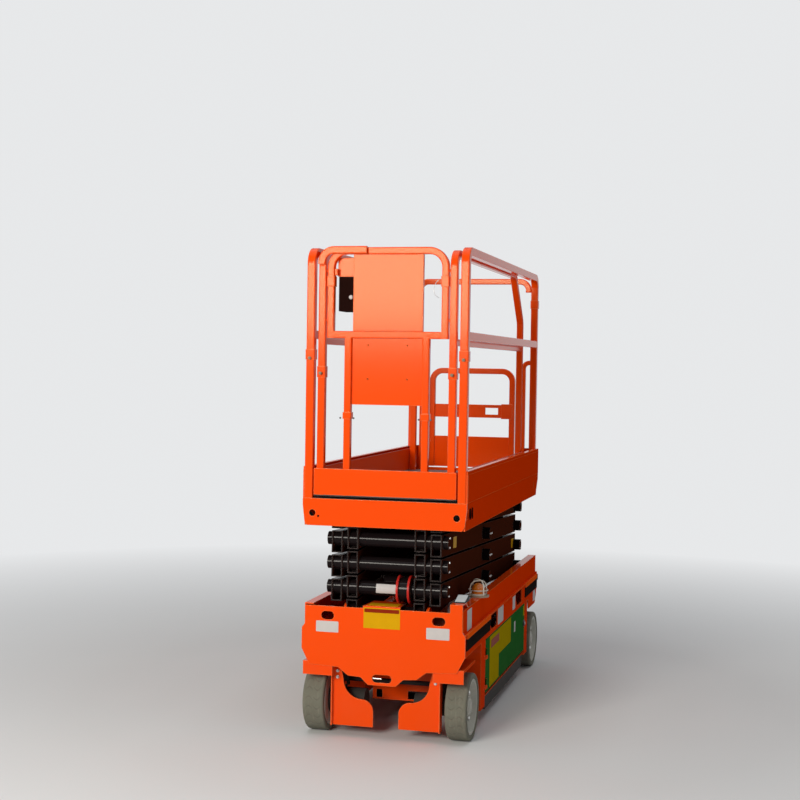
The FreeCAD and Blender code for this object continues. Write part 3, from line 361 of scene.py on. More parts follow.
def grown(piece, recipe, values):
    """The piece after a Geometry Nodes rule, as a plain mesh with no modifier left."""
    rule = piece.modifiers.new("rule", "NODES")
    rule.node_group = recipe.tree
    sockets = {s.name: s.identifier for s in recipe.tree.interface.items_tree if s.in_out == "INPUT"}
    for name, value in values.items():
        rule[sockets[name]] = value
    graph = bpy.context.evaluated_depsgraph_get()
    mesh = bpy.data.meshes.new_from_object(piece.evaluated_get(graph), depsgraph=graph)
    piece.modifiers.remove(rule)
    piece.data = mesh
    return piece


def linked(name, mesh):
    """A new object at the origin."""
    piece = bpy.data.objects.new(name, mesh)
    bpy.context.collection.objects.link(piece)
    return piece


tread, tread_in = new_rule("tread_grooves", {**TREAD, "Finish": None})
turn = attribute(tread, "around")
across = attribute(tread, "across")
half = across.shaped("SIGN")
out_from_middle = across.shaped("ABSOLUTE")
bend = (out_from_middle * 3.6).shaped("SINE")
phase = turn * tread_in["Grooves"] + half * 0.25 + bend * tread_in["Sweep"] * half
distance = (phase.shaped("FRACT") - 0.5).shaped("ABSOLUTE")
line = (1.0 - (distance - 0.035) * 28.0).clamp()
reach = ((0.86 - out_from_middle) * 12.0).clamp() * ((out_from_middle - 0.05) * 14.0).clamp()
groove = line * reach * chance(tread, 0.92, 1.0, tread_in["Seed"])
outward = tread.node("GeometryNodeInputNormal")
depth = groove * tread_in["Depth"] * -1.0
sunk = tread.node("ShaderNodeVectorMath", {"operation": "SCALE"}, {"Vector": outward, "Scale": depth})
marked = tread.node("GeometryNodeStoreNamedAttribute", {"data_type": "FLOAT", "domain": "POINT"},
                    {"Geometry": tread_in["Geometry"], "Name": "groove", "Value": groove})
moved = tread.node("GeometryNodeSetPosition", {}, {"Geometry": marked, "Offset": sunk})
end_rule(tread, moved, tread_in["Finish"])

rubber_grey, recipe, shader = finish("tyre_rubber", Specular_IOR_Level=0.25)
place = own_place(recipe)
in_groove = recipe.node("ShaderNodeAttribute", {"attribute_name": "groove"}, {}, "Fac")
patch = noise(recipe, place, 14.0, 5.0)
scuff = noise(recipe, place, 60.0, 6.0, (2.2, 0.5, 0.5))
skin = blend(recipe, patch, toned(RUBBER_GREY, 0.82), toned(RUBBER_GREY, 1.16))
skin = blend(recipe, (scuff * 2.4 - 1.25).clamp() * 0.5, skin, SCUFFED_GREY)
# The grooves are painted darker.
feed(recipe, shader,
     Base_Color=blend(recipe, (in_groove * 0.38).clamp(), skin, GROOVE_DARK),
     Roughness=(0.72 + patch * 0.2).clamp(),
     Normal=bumped(recipe, noise(recipe, place, 260.0, 4.0) + scuff * 0.6, 0.0004))


def tyre(name, side, axle_y):
    """A lathed tyre: flat tread, rounded shoulders, side walls with a raised ring."""
    wall = list(SIDE_WALL)
    for step in range(1, 6):
        a = math.radians(18 * step)
        wall.append((SHOULDER - SHOULDER * math.cos(a), TYRE_R - SHOULDER + SHOULDER * math.sin(a)))
    flat = TYRE_W - 2 * SHOULDER
    outline = wall + [(SHOULDER + flat * k / TREAD_COLUMNS, TYRE_R) for k in range(1, TREAD_COLUMNS)]
    outline += [(TYRE_W - x, r) for x, r in reversed(wall)]
    count = len(outline)
    points, around, across_values, faces = [], [], [], []
    for k in range(TYRE_STEPS):
        a = 2 * math.pi * k / TYRE_STEPS
        for x, r in outline:
            points.append((side * (WHEEL_X + x), axle_y + r * math.sin(a), TYRE_R - r * math.cos(a)))
            around.append(k / TYRE_STEPS)
            on_tread = r > TYRE_R - 0.0001
            across_values.append((x / TYRE_W - 0.5) * 2.3 if on_tread else 1.2)
        here, there = k * count, ((k + 1) % TYRE_STEPS) * count
        for i in range(count):
            j = (i + 1) % count
            quad = (here + i, there + i, there + j, here + j)
            faces.append(quad if side > 0 else quad[::-1])
    mesh = bpy.data.meshes.new(name)
    mesh.from_pydata(points, [], faces)
    mesh.attributes.new("around", "FLOAT", "POINT").data.foreach_set("value", around)
    mesh.attributes.new("across", "FLOAT", "POINT").data.foreach_set("value", across_values)
    mesh.polygons.foreach_set("use_smooth", [True] * len(faces))
    work = bmesh.new()
    work.from_mesh(mesh)
    bmesh.ops.recalc_face_normals(work, faces=work.faces)
    work.to_mesh(mesh)
    work.free()
    return grown(linked(name, mesh), tread, {**TREAD, "Finish": rubber_grey})


for end, axle_y in AXLES.items():
    for hand, side in SIDES.items():
        ring = tyre(f"tread_{end}_{hand}", side, axle_y)
        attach(ring, f"wheel_{end}_{hand}")
        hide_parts(f"tyre_{end}_{hand}")

# Rims: pressed and welded steel dishes in light grey paint with a turned hub cap, held by five nuts
# on studs round the hub. The nuts are zinc plated and sit on the flat of the dish.
NUTS, NUT_RING, FIRST_NUT = 5, 0.061, 18
DISH_FACE = 0.349
HUB_CAP = ((0.0002, 0.0222), (0.0255, 0.0222), (0.027, 0.019), (0.027, 0.0), (0.034, 0.0), (0.032, 0.003),
           (0.031, 0.019), (0.027, 0.0245), (0.014, 0.0256), (0.0002, 0.0256))
FORE, AFT, UP = (0, -1, 0), (0, 1, 0), (0, 0, 1)
OUT = {"right": (1, 0, 0), "left": (-1, 0, 0)}

# A head's width and height, its washer's width, its number of sides and how far its crown narrows.
HEAD_INPUTS = ("Head width", "Head height", "Washer width", "Sides", "Crown")
WHEEL_NUT = (0.019, 0.014, 0.026, 6, 0.8)

rim_grey = painted("rim_grey", (0.58, 0.58, 0.52, 1), (0.80, 0.79, 0.73, 1), roughness=0.42, level=0.25, grime=0.35,
                   tone=0.14)


def plated_finish(name, colour, roughness):
    """Metal plating with a cloudy sheen and fine scratches."""
    material, recipe, shader = finish(name, Metallic=1.0)
    place = own_place(recipe)
    cloud = noise(recipe, place, 45.0, 4.0)
    scratch = noise(recipe, place, 300.0, 3.0, (1, 0.2, 1))
    feed(recipe, shader,
         Base_Color=blend(recipe, cloud, toned(colour, 0.62), colour),
         Roughness=(roughness + cloud * 0.22).clamp(),
         Normal=bumped(recipe, scratch, 0.00008))
    return material


zinc = plated_finish("zinc_plate", (0.72, 0.72, 0.70, 1), 0.26)


def placed(name, work, surface, body):
    """Ends a small piece: faces outward, its finish, and the body it rides on."""
    bmesh.ops.recalc_face_normals(work, faces=work.faces)
    mesh = bpy.data.meshes.new(name)
    work.to_mesh(mesh)
    work.free()
    mesh.materials.append(surface)
    piece = linked(name, mesh)
    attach(piece, body)


def skinned(work, rings, closed_ends=True):
    """Faces from each ring of points to the next, and over both ends."""
    for one, other in zip(rings, rings[1:]):
        for i in range(len(one)):
            j = (i + 1) % len(one)
            work.faces.new((one[i], one[j], other[j], other[i]))
    if closed_ends:
        work.faces.new(rings[0][::-1])
        work.faces.new(rings[-1])


def circle(radius, steps, height=0.0):
    """Points round the Z axis."""
    angles = [2 * math.pi * k / steps for k in range(steps)]
    return [Vector((radius * math.cos(a), radius * math.sin(a), height)) for a in angles]


def lathed(name, body, at, axis, profile, surface, steps=28):
    """A lathed piece from (radius, height) pairs up an axis, closed at both ends."""
    tilt = Vector(axis).to_track_quat("Z", "Y").to_matrix()
    work = bmesh.new()
    rings = [[work.verts.new(Vector(at) + tilt @ p) for p in circle(radius, steps, height)]
             for radius, height in profile]
    skinned(work, rings)
    placed(name, work, surface, body)


def cone(recipe, sides, top, bottom, tall):
    """A many-sided head, narrower or not at its top."""
    sockets = {"Vertices": sides, "Radius Top": top, "Radius Bottom": bottom, "Depth": tall}
    return recipe.node("GeometryNodeMeshCone", {"fill_type": "NGON"}, sockets, "Mesh")


bolt, bolt_in = new_rule("bolt_heads", {**dict(zip(HEAD_INPUTS, WHEEL_NUT)), "Seed": 1, "Finish": None})


def raised(mesh, lift):
    """A part of the head moved up its own axis."""
    offset = bolt.node("ShaderNodeCombineXYZ", {}, {"Z": lift})
    return bolt.node("GeometryNodeTransform", {}, {"Geometry": mesh, "Translation": offset})


corner = bolt_in["Head width"] * 0.577
stem = bolt_in["Head height"] * 0.72
crown = bolt_in["Head height"] * 0.28
washer_thick = bolt_in["Head height"] * 0.22
washer = cone(bolt, 20, bolt_in["Washer width"] * 0.47, bolt_in["Washer width"] * 0.5, washer_thick)
shank = cone(bolt, bolt_in["Sides"], corner, corner, stem)
cap = cone(bolt, bolt_in["Sides"], corner * bolt_in["Crown"], corner, crown)
stacked = [washer, raised(shank, washer_thick), raised(cap, washer_thick + stem)]
head = bolt.node("GeometryNodeJoinGeometry", {}, {0: stacked})
way = attribute(bolt, "facing", "FLOAT_VECTOR")
aligned = bolt.node("FunctionNodeAlignRotationToVector", {"axis": "Z"}, {"Vector": way})
spin = chance(bolt, 0.0, 6.28, bolt_in["Seed"])
twist = bolt.node("FunctionNodeAxisAngleToRotation", {}, {"Axis": UP, "Angle": spin})
pose = bolt.node("FunctionNodeRotateRotation", {"rotation_space": "LOCAL"}, {"Rotation": aligned, "Rotate By": twist})
set_out = bolt.node("GeometryNodeInstanceOnPoints", {},
                    {"Points": bolt_in["Geometry"], "Instance": head, "Rotation": pose})
end_rule(bolt, set_out, bolt_in["Finish"])


def fasteners(name, body, spots, metal, sizes):
    """Heads at (point, facing) spots, joined into one mesh that rides on one body."""
    mesh = bpy.data.meshes.new(name)
    mesh.from_pydata([point for point, _ in spots], [], [])
    directions = mesh.attributes.new("facing", "FLOAT_VECTOR", "POINT")
    directions.data.foreach_set("vector", [c for _, facing in spots for c in facing])
    values = {**dict(zip(HEAD_INPUTS, sizes)), "Seed": len(name), "Finish": metal}
    piece = grown(linked(name, mesh), bolt, values)
    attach(piece, body)


for end, axle_y in AXLES.items():
    for hand, side in SIDES.items():
        body, face = f"wheel_{end}_{hand}", side * DISH_FACE
        lathed(f"hub_cap_{end}_{hand}", body, (face, axle_y, TYRE_R), OUT[hand], HUB_CAP, rim_grey, 40)
        spots = []
        for k in range(NUTS):
            a = math.radians(360 / NUTS * k + FIRST_NUT)
            spots.append(((face, axle_y + NUT_RING * math.sin(a), TYRE_R + NUT_RING * math.cos(a)), OUT[hand]))
        fasteners(f"wheel_nuts_{end}_{hand}", body, spots, zinc, WHEEL_NUT)

# Steering and undercarriage: dark castings with a rough skin, and guard bars in dark grey paint. Two
# bolts, one over the other, hold each curved motor guard on its steering head.
GUARD_BOLT = (0.012, 0.006, 0.016, 6, 0.8)
GUARD_BOLT_X, GUARD_BOLT_Y, GUARD_BOLT_LEVELS = 0.230, -0.943, (0.297, 0.268)
casting = painted("dark_casting", (0.035, 0.034, 0.034, 1), (0.14, 0.14, 0.14, 1), roughness=0.55, level=0.04,
                  grime=0.12, peel=0.00018, tone=0.3)
guard_grey = painted("guard_grey", (0.045, 0.044, 0.043, 1), (0.15, 0.14, 0.13, 1), roughness=0.5, level=0.03,
                     grime=0.12, tone=0.25)

for hand, side in SIDES.items():
    spots = [((side * GUARD_BOLT_X, GUARD_BOLT_Y, z), FORE) for z in GUARD_BOLT_LEVELS]
    fasteners(f"guard_bolts_{hand}", f"steer_{hand}", spots, zinc, GUARD_BOLT)

# Scissor arms: hollow rectangular bars in black satin paint, with welded bushes, cross tubes
# and pins. Two small keeper screws hold each boss, and the hose drum has red rims.
SATIN_BLACK = (0.0095, 0.0060, 0.0066, 1)
ARM_SIDE_REFLECTION = (0.070, 0.016, 0.007, 1)
PIN_LEVEL, PIN_PITCH = 0.575, 0.110
FRONT_PIN_Y, REAR_PIN_Y = -0.935, 0.915
BOSS_FACES = {"front": 0.282, "rear": 0.296}
BAR_FACE = 0.256
KEEPER_SCREW = (0.009, 0.004, 0.011, 12, 0.7)
SCREW_OFFSETS, MIDDLE_SCREW_OFFSETS = (-0.021, 0.021), (-0.016, 0.016)
ARM_LABEL_HEIGHT = 0.052
DRUM_TUBE, DRUM_TUBE_R, DRUM_RIM_R = (FRONT_PIN_Y, 0.685), 0.0322, 0.0523

# The arms' sideways faces are painted a lighter red-brown: a painted reflection of the orange paint.
arm_black = painted("arm_black", SATIN_BLACK, (0.16, 0.13, 0.12, 1), roughness=0.40, level=0.0, grime=0.0, tone=0.35,
                    highlight_strength=0.8, coat=0.16, side_light_colour=ARM_SIDE_REFLECTION)
red_paint = painted("drum_red", (0.50, 0.010, 0.008, 1), (0.75, 0.10, 0.06, 1), roughness=0.35, level=0.2, grime=0.0)
chrome = plated_finish("hard_chrome", (0.85, 0.85, 0.86, 1), 0.08)


def sheet_finish(name, colour, level=0.02):
    """Printed vinyl: even colour with faint creases."""
    material, recipe, shader = finish(name, Specular_IOR_Level=level)
    place = own_place(recipe)
    cloud = noise(recipe, place, 30.0, 3.0)
    feed(recipe, shader,
         Base_Color=blend(recipe, cloud, toned(colour, 0.86), colour),
         Roughness=(0.38 + cloud * 0.15).clamp(),
         Normal=bumped(recipe, noise(recipe, place, 120.0, 2.0), 0.00008))
    return material


white_label = sheet_finish("white_label", (0.60, 0.57, 0.56, 1))
yellow_label = sheet_finish("yellow_label", (0.68, 0.36, 0.004, 1))


def label(name, body, centre, facing, size, vinyl, corner=0.004, thick=0.0006, up=UP):
    """A thin sheet with rounded corners laid on a surface that looks one way."""
    up = Vector(up).normalized()
    along = up.cross(Vector(facing)).normalized()
    out = along.cross(up)
    half_length, half_height = size[0] / 2 - corner, size[1] / 2 - corner
    outline = []
    for k, (sx, sy) in enumerate(((1, 1), (-1, 1), (-1, -1), (1, -1))):
        for step in range(4):
            a = math.radians(90 * k + 30 * step)
            outline.append((sx * half_length + corner * math.cos(a), sy * half_height + corner * math.sin(a)))
    work = bmesh.new()
    rings = [[work.verts.new(Vector(centre) + along * (u * share) + up * (v * share) + out * rise) for u, v in outline]
             for share, rise in ((1, -0.0002), (0.996, thick))]
    skinned(work, rings)
    placed(name, work, vinyl, body)


def curved_band(name, body, centre, radius, x0, x1, start, end, thick, surface, steps=20):
    """A band wrapped on a tube that lies along X, between two angles measured from straight ahead."""
    work = bmesh.new()
    inner, outer = radius - 0.0005, radius + thick
    rings = []
    for k in range(steps + 1):
        a = math.radians(start + (end - start) * k / steps)
        rings.append([work.verts.new((x, centre[0] - r * math.cos(a), centre[1] + r * math.sin(a)))
                      for x, r in ((x0, inner), (x1, inner), (x1, outer), (x0, outer))])
    skinned(work, rings, closed_ends=end - start < 360)
    bmesh.ops.remove_doubles(work, verts=work.verts, dist=0.00001)
    placed(name, work, surface, body)


def bar_ends(k):
    """The rear and the front end of outer bar k's middle line, in the plane of symmetry."""
    low = Vector((0, REAR_PIN_Y, PIN_LEVEL + PIN_PITCH * (k - 1) + 0.010))
    high = Vector((0, FRONT_PIN_Y, PIN_LEVEL + PIN_PITCH * k - 0.013))
    return low, high


for k in range(1, 5):
    bosses = {}
    if k < 4:
        bosses["front"] = (FRONT_PIN_Y, PIN_LEVEL + PIN_PITCH * k)
    if k > 1:
        bosses["rear"] = (REAR_PIN_Y, PIN_LEVEL + PIN_PITCH * (k - 1))
    spots = []
    for side in (-1, 1):
        for end, (pin_y, pin_z) in bosses.items():
            spots += [((side * BOSS_FACES[end], pin_y, pin_z + offset), (side, 0, 0)) for offset in SCREW_OFFSETS]
        middle_y, middle_z = (FRONT_PIN_Y + REAR_PIN_Y) / 2, PIN_LEVEL + PIN_PITCH * (k - 0.5)
        spots += [((side * BOSS_FACES["rear"], middle_y + offset, middle_z), (side, 0, 0))
                  for offset in MIDDLE_SCREW_OFFSETS]
    fasteners(f"keeper_screws_{k}", f"outer_{k}", spots, zinc, KEEPER_SCREW)

for k, share_forward, length in ((3, 0.872, 0.070), (2, 0.020, 0.090)):
    low, high = bar_ends(k)
    way = (low - high).normalized()
    for hand, side in SIDES.items():
        centre = low.lerp(high, share_forward)
        centre.x = side * (BAR_FACE + 0.0001)
        label(f"arm_label_{k}_{hand}", f"outer_{k}", centre, OUT[hand], (length, ARM_LABEL_HEIGHT), yellow_label,
              up=(0, -way.z, way.y))

for x in (0.052, 0.104):
    curved_band(f"drum_disc_{round(x * 1000)}", "inner_2", DRUM_TUBE, DRUM_RIM_R, x0=x - 0.0006, x1=x + 0.0086,
                start=0, end=360, thick=0.0122, surface=red_paint, steps=64)
curved_band("tube_label", "inner_2", DRUM_TUBE, DRUM_TUBE_R, x0=-0.048, x1=0.046, start=-34, end=44, thick=0.0006,
            surface=white_label)

# Chassis front: one bent and laser-cut sheet with lifting holes, plain vinyl labels, a small moulded
# sensor case clamped on the corner, and a plated pin in the slot at the bottom.
FRONT_FACE = -1.0232
case_black = painted("moulded_case", (0.016, 0.016, 0.017, 1), (0.04, 0.04, 0.04, 1), roughness=0.6, level=0.2,
                     grime=0.5, peel=0.00008)
head_label = sheet_finish("red_brown_head", (0.26, 0.022, 0.005, 1))
blue_label = sheet_finish("blue_white_label", (0.70, 0.76, 0.80, 1))
SENSOR_WEDGE = [(-0.972, 0.6425), (-0.880, 0.6425), (-0.880, 0.668), (-0.970, 0.646)]
SENSOR_SLOPE = (0, 0.971, 0.2374)
SLOT_PIN = ((0.003, 0), (0.004, 0.001), (0.004, 0.046), (0.003, 0.047))


def sheet(name, body, origin, facing, outline, thick, surface, holes=()):
    """A plate cut to an outline, with holes. Its back lies on the origin and it thickens the way it looks."""
    up = Vector(UP)
    along = up.cross(Vector(facing))
    work = bmesh.new()
    edges = []
    for loop in (outline, *holes):
        points = [work.verts.new(Vector(origin) + along * u + up * v) for u, v in loop]
        edges += [work.edges.new((points[i - 1], points[i])) for i in range(len(points))]
    filled = bmesh.ops.triangle_fill(work, use_beauty=True, edges=edges)["geom"]
    flat = [face for face in filled if isinstance(face, bmesh.types.BMFace)]
    moved_out = bmesh.ops.extrude_face_region(work, geom=flat)["geom"]
    tops = [point for point in moved_out if isinstance(point, bmesh.types.BMVert)]
    bmesh.ops.translate(work, vec=along.cross(up) * thick, verts=tops)
    placed(name, work, surface, body)


def rectangle(u0, u1, v0, v1):
    """The outline of a plain rectangle."""
    return [(u0, v0), (u1, v0), (u1, v1), (u0, v1)]


label("tie_down_label_left", "chassis", (-0.259, FRONT_FACE, 0.512), FORE, (0.106, 0.050), white_label)
label("tie_down_label_right", "chassis", (0.255, FRONT_FACE, 0.508), FORE, (0.106, 0.052), white_label)
label("warning_label_front", "chassis", (-0.004, FRONT_FACE, 0.5625), FORE, (0.170, 0.093), yellow_label, 0.002)
label("warning_label_head", "chassis", (-0.004, FRONT_FACE - 0.0006, 0.596), FORE, (0.162, 0.017), head_label, 0.003)
label("tongue_label", "chassis", (-0.006, -0.968, 0.6162), UP, (0.140, 0.070), yellow_label, 0.002, up=AFT)
sheet("sensor_case", "chassis", (0.314, 0, 0), OUT["right"], SENSOR_WEDGE, 0.052, case_black)
label("sensor_label", "chassis", (0.340, -0.925, 0.6572), (0, -0.2374, 0.971), (0.046, 0.080), blue_label, 0.002,
      up=SENSOR_SLOPE)
lathed("slot_pin", "chassis", (-0.050, -1.013, 0.2885), OUT["right"], SLOT_PIN, zinc)

# Bulkhead: an orange sheet on the cross wall behind the front axle, with two windows for hoses and a
# folded lower lip. It shows below the front plate between the motor guards. A pitch-black sheet a
# little behind it paints the shade seen through the windows.
BULKHEAD_FACE, BULKHEAD_THICK, WINDOW_SHADE_GAP = -0.6172, 0.003, 0.030
BULKHEAD = [(-0.150, 0.104), (0.136, 0.104), (0.136, 0.200), (0.186, 0.200), (0.186, 0.300), (-0.186, 0.300),
            (-0.186, 0.205), (-0.150, 0.205)]
WINDOWS = [rectangle(-0.131, -0.103, 0.112, 0.151), rectangle(0.024, 0.126, 0.112, 0.151)]
# Pitch black with no gloss: painted shade for holes, slots and gaps.
shade_black = painted("shade_black", (0.004, 0.003, 0.003, 1), (0.03, 0.03, 0.03, 1), roughness=0.6, level=0.0, grime=0.0)
sheet("bulkhead_skin", "chassis", (0, BULKHEAD_FACE, 0), FORE, BULKHEAD, BULKHEAD_THICK, orange, WINDOWS)
sheet("bulkhead_window_shade", "chassis", (0, BULKHEAD_FACE + WINDOW_SHADE_GAP, 0), FORE, rectangle(-0.148, 0.134, 0.106, 0.190),
      BULKHEAD_THICK, shade_black)

# Chassis side: the channel with the slide track, the skirt with black rubber strips, the fork
# pockets with white plates beside them, and the green tray door with a yellow sheet stuck on it.
SKIRT = DOOR = 0.3742
WEB = 0.3682
LOCK_AT = (0.590, 0.292)
LOCK_FACE = ((0.019, 0), (0.019, 0.003), (0.015, 0.005), (0.015, 0.007), (0.012, 0.008))
LOCK_KEY = ((0.006, 0), (0.006, 0.0015), (0.004, 0.002))
STRIP_SPANS = {"front": (-0.979, -0.424), "rear": (0.617, 1.018)}
strip_rubber = painted("strip_rubber", (0.019, 0.014, 0.012, 1), (0.05, 0.04, 0.035, 1), roughness=0.62, level=0.0,
                       grime=0.1, peel=0.0001)
# A brighter orange than the paint, without gloss, for the outward-facing ledge noses: painted light.
ledge_orange_lit = painted("ledge_orange_lit", (1.0, 0.115, 0.006, 1), ORANGE_HIGHLIGHT, roughness=0.5, level=0.0, grime=0.0)
door_green = painted("door_green", (0.020, 0.150, 0.026, 1), (0.10, 0.30, 0.10, 1), roughness=0.5, level=0.0, grime=0.1)
door_yellow = sheet_finish("door_yellow_sheet", (0.46, 0.34, 0.004, 1), level=0.0)
plate_red = sheet_finish("red_brown_plate", (0.30, 0.055, 0.03, 1))
dark_zinc = plated_finish("black_oxide", (0.09, 0.09, 0.095, 1), 0.35)

# Name, body, face, place along the machine, height, size, vinyl and corner radius of each flat label.
SIDE_LABELS = (
    ("channel_label", "chassis", WEB, -0.880, 0.558, (0.100, 0.094), white_label, 0.004),
    ("pocket_plate_front", "chassis", SKIRT, -0.120, 0.455, (0.150, 0.080), white_label, 0.004),
    ("pocket_plate_rear", "chassis", SKIRT, 0.270, 0.455, (0.080, 0.070), white_label, 0.004),
    ("tail_label", "chassis", SKIRT, 0.950, 0.392, (0.080, 0.060), white_label, 0.004),
    ("door_sheet_front", "door", DOOR, -0.278, 0.270, (0.246, 0.244), door_yellow, 0.002),
    ("door_sheet_top", "door", DOOR, 0.016, 0.328, (0.342, 0.128), door_yellow, 0.002),
    ("door_plate", "door", DOOR + 0.0007, -0.262, 0.352, (0.215, 0.040), plate_red, 0.003),
    ("door_tag", "door", DOOR, 0.306, 0.322, (0.040, 0.056), white_label, 0.003),
    ("door_stripe", "door", DOOR, 0.592, 0.360, (0.030, 0.052), door_yellow, 0.002),
)

for hand, side in SIDES.items():
    out, face = OUT[hand], (side * SKIRT, 0, 0)
    for name, owner, stand_out, y, z, size, vinyl, corner in SIDE_LABELS:
        body = owner if owner == "chassis" else f"{owner}_{hand}"
        label(f"{name}_{hand}", body, (side * stand_out, y, z), out, size, vinyl, corner)
    lathed(f"door_lock_{hand}", f"door_{hand}", (side * DOOR, *LOCK_AT), out, LOCK_FACE, dark_zinc)
    lathed(f"door_lock_key_{hand}", f"door_{hand}", (side * (DOOR + 0.008), *LOCK_AT), out, LOCK_KEY, zinc)
    for where, (y0, y1) in STRIP_SPANS.items():
        nose = rectangle(side * y0, side * y1, 0.4845, 0.5075)
        sheet(f"ledge_nose_{where}_{hand}", "chassis", face, out, nose, 0.0082, ledge_orange_lit)
        foot = rectangle(side * y0, side * y1, 0.430, 0.4505)
        sheet(f"strip_foot_{where}_{hand}", "chassis", face, out, foot, 0.0058, strip_rubber)
    post = rectangle(side * 0.6195, side * 0.712, 0.112, 0.398)
    sheet(f"rear_post_{hand}", "chassis", (side * (SKIRT - 0.006), 0, 0), out, post, 0.006, orange_dull_side_shaded)

# Trays: behind the right door four batteries in moulded cases with vent caps and terminal bars, behind
# the left one the pump with its motor end, reservoir cap and valve stems. Both sit on the tray floor.
BATTERY_TOP, PUMP_TOP, BLOCK_FACE = 0.375, 0.335, 0.352
BATTERIES, FIRST_BATTERY, BATTERY_PITCH, BATTERY_HALF = 4, -0.316, 0.249, 0.113
VENT_X, VENT_OFFSETS, VENT = 0.270, (-0.062, 0, 0.062), ((0.013, 0), (0.013, 0.006), (0.010, 0.010), (0.004, 0.011))
TERMINAL_X, TERMINAL_OFFSETS = 0.322, (-0.096, 0.096)
TERMINAL = ((0.010, 0), (0.009, 0.003), (0.007, 0.003), (0.006, 0.015))
MOTOR_Y, MOTOR_Z, MOTOR_BOLT_RING, MOTOR_BOLT_ANGLES = -0.190, 0.232, 0.066, (0.8, 2.35, 3.9, 5.5)
MOTOR_BOLT = (0.009, 0.004, 0.010, 6, 0.8)
MOTOR_END = ((0.078, 0), (0.078, 0.002), (0.070, 0.0035), (0.030, 0.004))
TANK = [(-0.395, 0.140), (-0.030, 0.140), (-0.030, 0.310), (-0.050, 0.326), (-0.375, 0.326), (-0.395, 0.310)]
TANK_CAP = ((0.026, 0), (0.026, 0.010), (0.030, 0.012), (0.030, 0.024), (0.024, 0.028))
VALVE_STEM = ((0.016, 0), (0.016, 0.006), (0.012, 0.008), (0.012, 0.026), (0.007, 0.028), (0.007, 0.036))
stop_red = painted("stop_red", (0.55, 0.008, 0.006, 1), (0.8, 0.1, 0.06, 1), roughness=0.3, level=0.4, grime=0.0)

for k in range(BATTERIES):
    middle = FIRST_BATTERY + BATTERY_PITCH * k
    front, back = middle - BATTERY_HALF, middle + BATTERY_HALF
    case = [(front, 0.136), (back, 0.136), (back, 0.352), (back - 0.012, 0.366), (front + 0.012, 0.366), (front, 0.352)]
    sheet(f"battery_case_{k}", "chassis", (BLOCK_FACE, 0, 0), OUT["right"], case, 0.0024, case_black)
    label(f"battery_label_{k}", "chassis", (BLOCK_FACE + 0.0026, middle, 0.270), OUT["right"], (0.110, 0.060),
          yellow_label)
    for n, offset in enumerate(VENT_OFFSETS):
        lathed(f"vent_cap_{k}_{n}", "chassis", (VENT_X, middle + offset, BATTERY_TOP), UP, VENT, stop_red)
    for n, offset in enumerate(TERMINAL_OFFSETS):
        lathed(f"terminal_{k}_{n}", "chassis", (TERMINAL_X, middle + offset, BATTERY_TOP), UP, TERMINAL, zinc)
    if k < BATTERIES - 1:
        bar = rectangle(middle + 0.088, middle + 0.161, BATTERY_TOP + 0.0065, BATTERY_TOP + 0.0105)
        sheet(f"terminal_bar_{k}", "chassis", (TERMINAL_X - 0.009, 0, 0), OUT["right"], bar, 0.018, zinc)
lathed("pump_motor_end", "chassis", (-BLOCK_FACE, MOTOR_Y, MOTOR_Z), OUT["left"], MOTOR_END, zinc)
spots = [((-BLOCK_FACE, MOTOR_Y + MOTOR_BOLT_RING * math.cos(a), MOTOR_Z + MOTOR_BOLT_RING * math.sin(a)), OUT["left"])
         for a in MOTOR_BOLT_ANGLES]
fasteners("pump_motor_bolts", "chassis", spots, dark_zinc, MOTOR_BOLT)
sheet("pump_tank", "chassis", (-BLOCK_FACE, 0, 0), OUT["left"], TANK, 0.0026, guard_grey)
label("pump_label", "chassis", (-BLOCK_FACE - 0.0028, 0.210, 0.240), OUT["left"], (0.120, 0.070), white_label)
lathed("tank_cap", "chassis", (-0.290, 0.260, PUMP_TOP), UP, TANK_CAP, case_black)
for n, y in enumerate((-0.240, -0.190, -0.140)):
    lathed(f"valve_stem_{n}", "chassis", (-0.290, y, PUMP_TOP), UP, VALVE_STEM, zinc)

# Rear plate: a moulded charging socket with its flap on one side and a red lowering knob in a plated
# collar on the other, with a plain label under each and a yellow one on the rear sill above.
REAR_FACE, FITTING_X, FITTING_Z = 1.0352, 0.262, 0.405
SOCKET = ((0.034, 0), (0.034, 0.003), (0.027, 0.006), (0.027, 0.009), (0.020, 0.0115))
COLLAR = ((0.028, 0), (0.028, 0.002), (0.018, 0.004))
KNOB = ((0.006, 0), (0.006, 0.002), (0.014, 0.003), (0.015, 0.006), (0.010, 0.0075))
lathed("charge_socket", "chassis", (FITTING_X, REAR_FACE, FITTING_Z), AFT, SOCKET, case_black)
lathed("lowering_collar", "chassis", (-FITTING_X, REAR_FACE, FITTING_Z), AFT, COLLAR, zinc)
lathed("lowering_knob", "chassis", (-FITTING_X, REAR_FACE + 0.004, FITTING_Z), AFT, KNOB, stop_red)
for name, x in (("charge", FITTING_X), ("lowering", -FITTING_X)):
    label(f"{name}_label", "chassis", (x, REAR_FACE, 0.335), AFT, (0.080, 0.045), white_label)
label("rear_warning_label", "platform", (-0.240, 0.9791, 1.045), AFT, (0.120, 0.060), yellow_label)

# Platform: a tread plate deck between folded sills, with square tube rails on sleeves. The lozenges
# are rolled into the plate, and pop rivets, pins and bolts hold the front sheet, the frame and the sills.
GREY_STEEL = (0.16, 0.16, 0.165, 1)
TOE_LEVEL, SHADED_EDGE_TOP = 1.1092, 1.1075
PLATE = {"Pitch": 0.030, "Lozenge length": 0.022, "Height": 0.0012, "Seed": 2}
deck_grey = painted("deck_grey", GREY_STEEL, (0.42, 0.42, 0.42, 1), roughness=0.45, level=0.45, grime=0.0, tone=0.3)
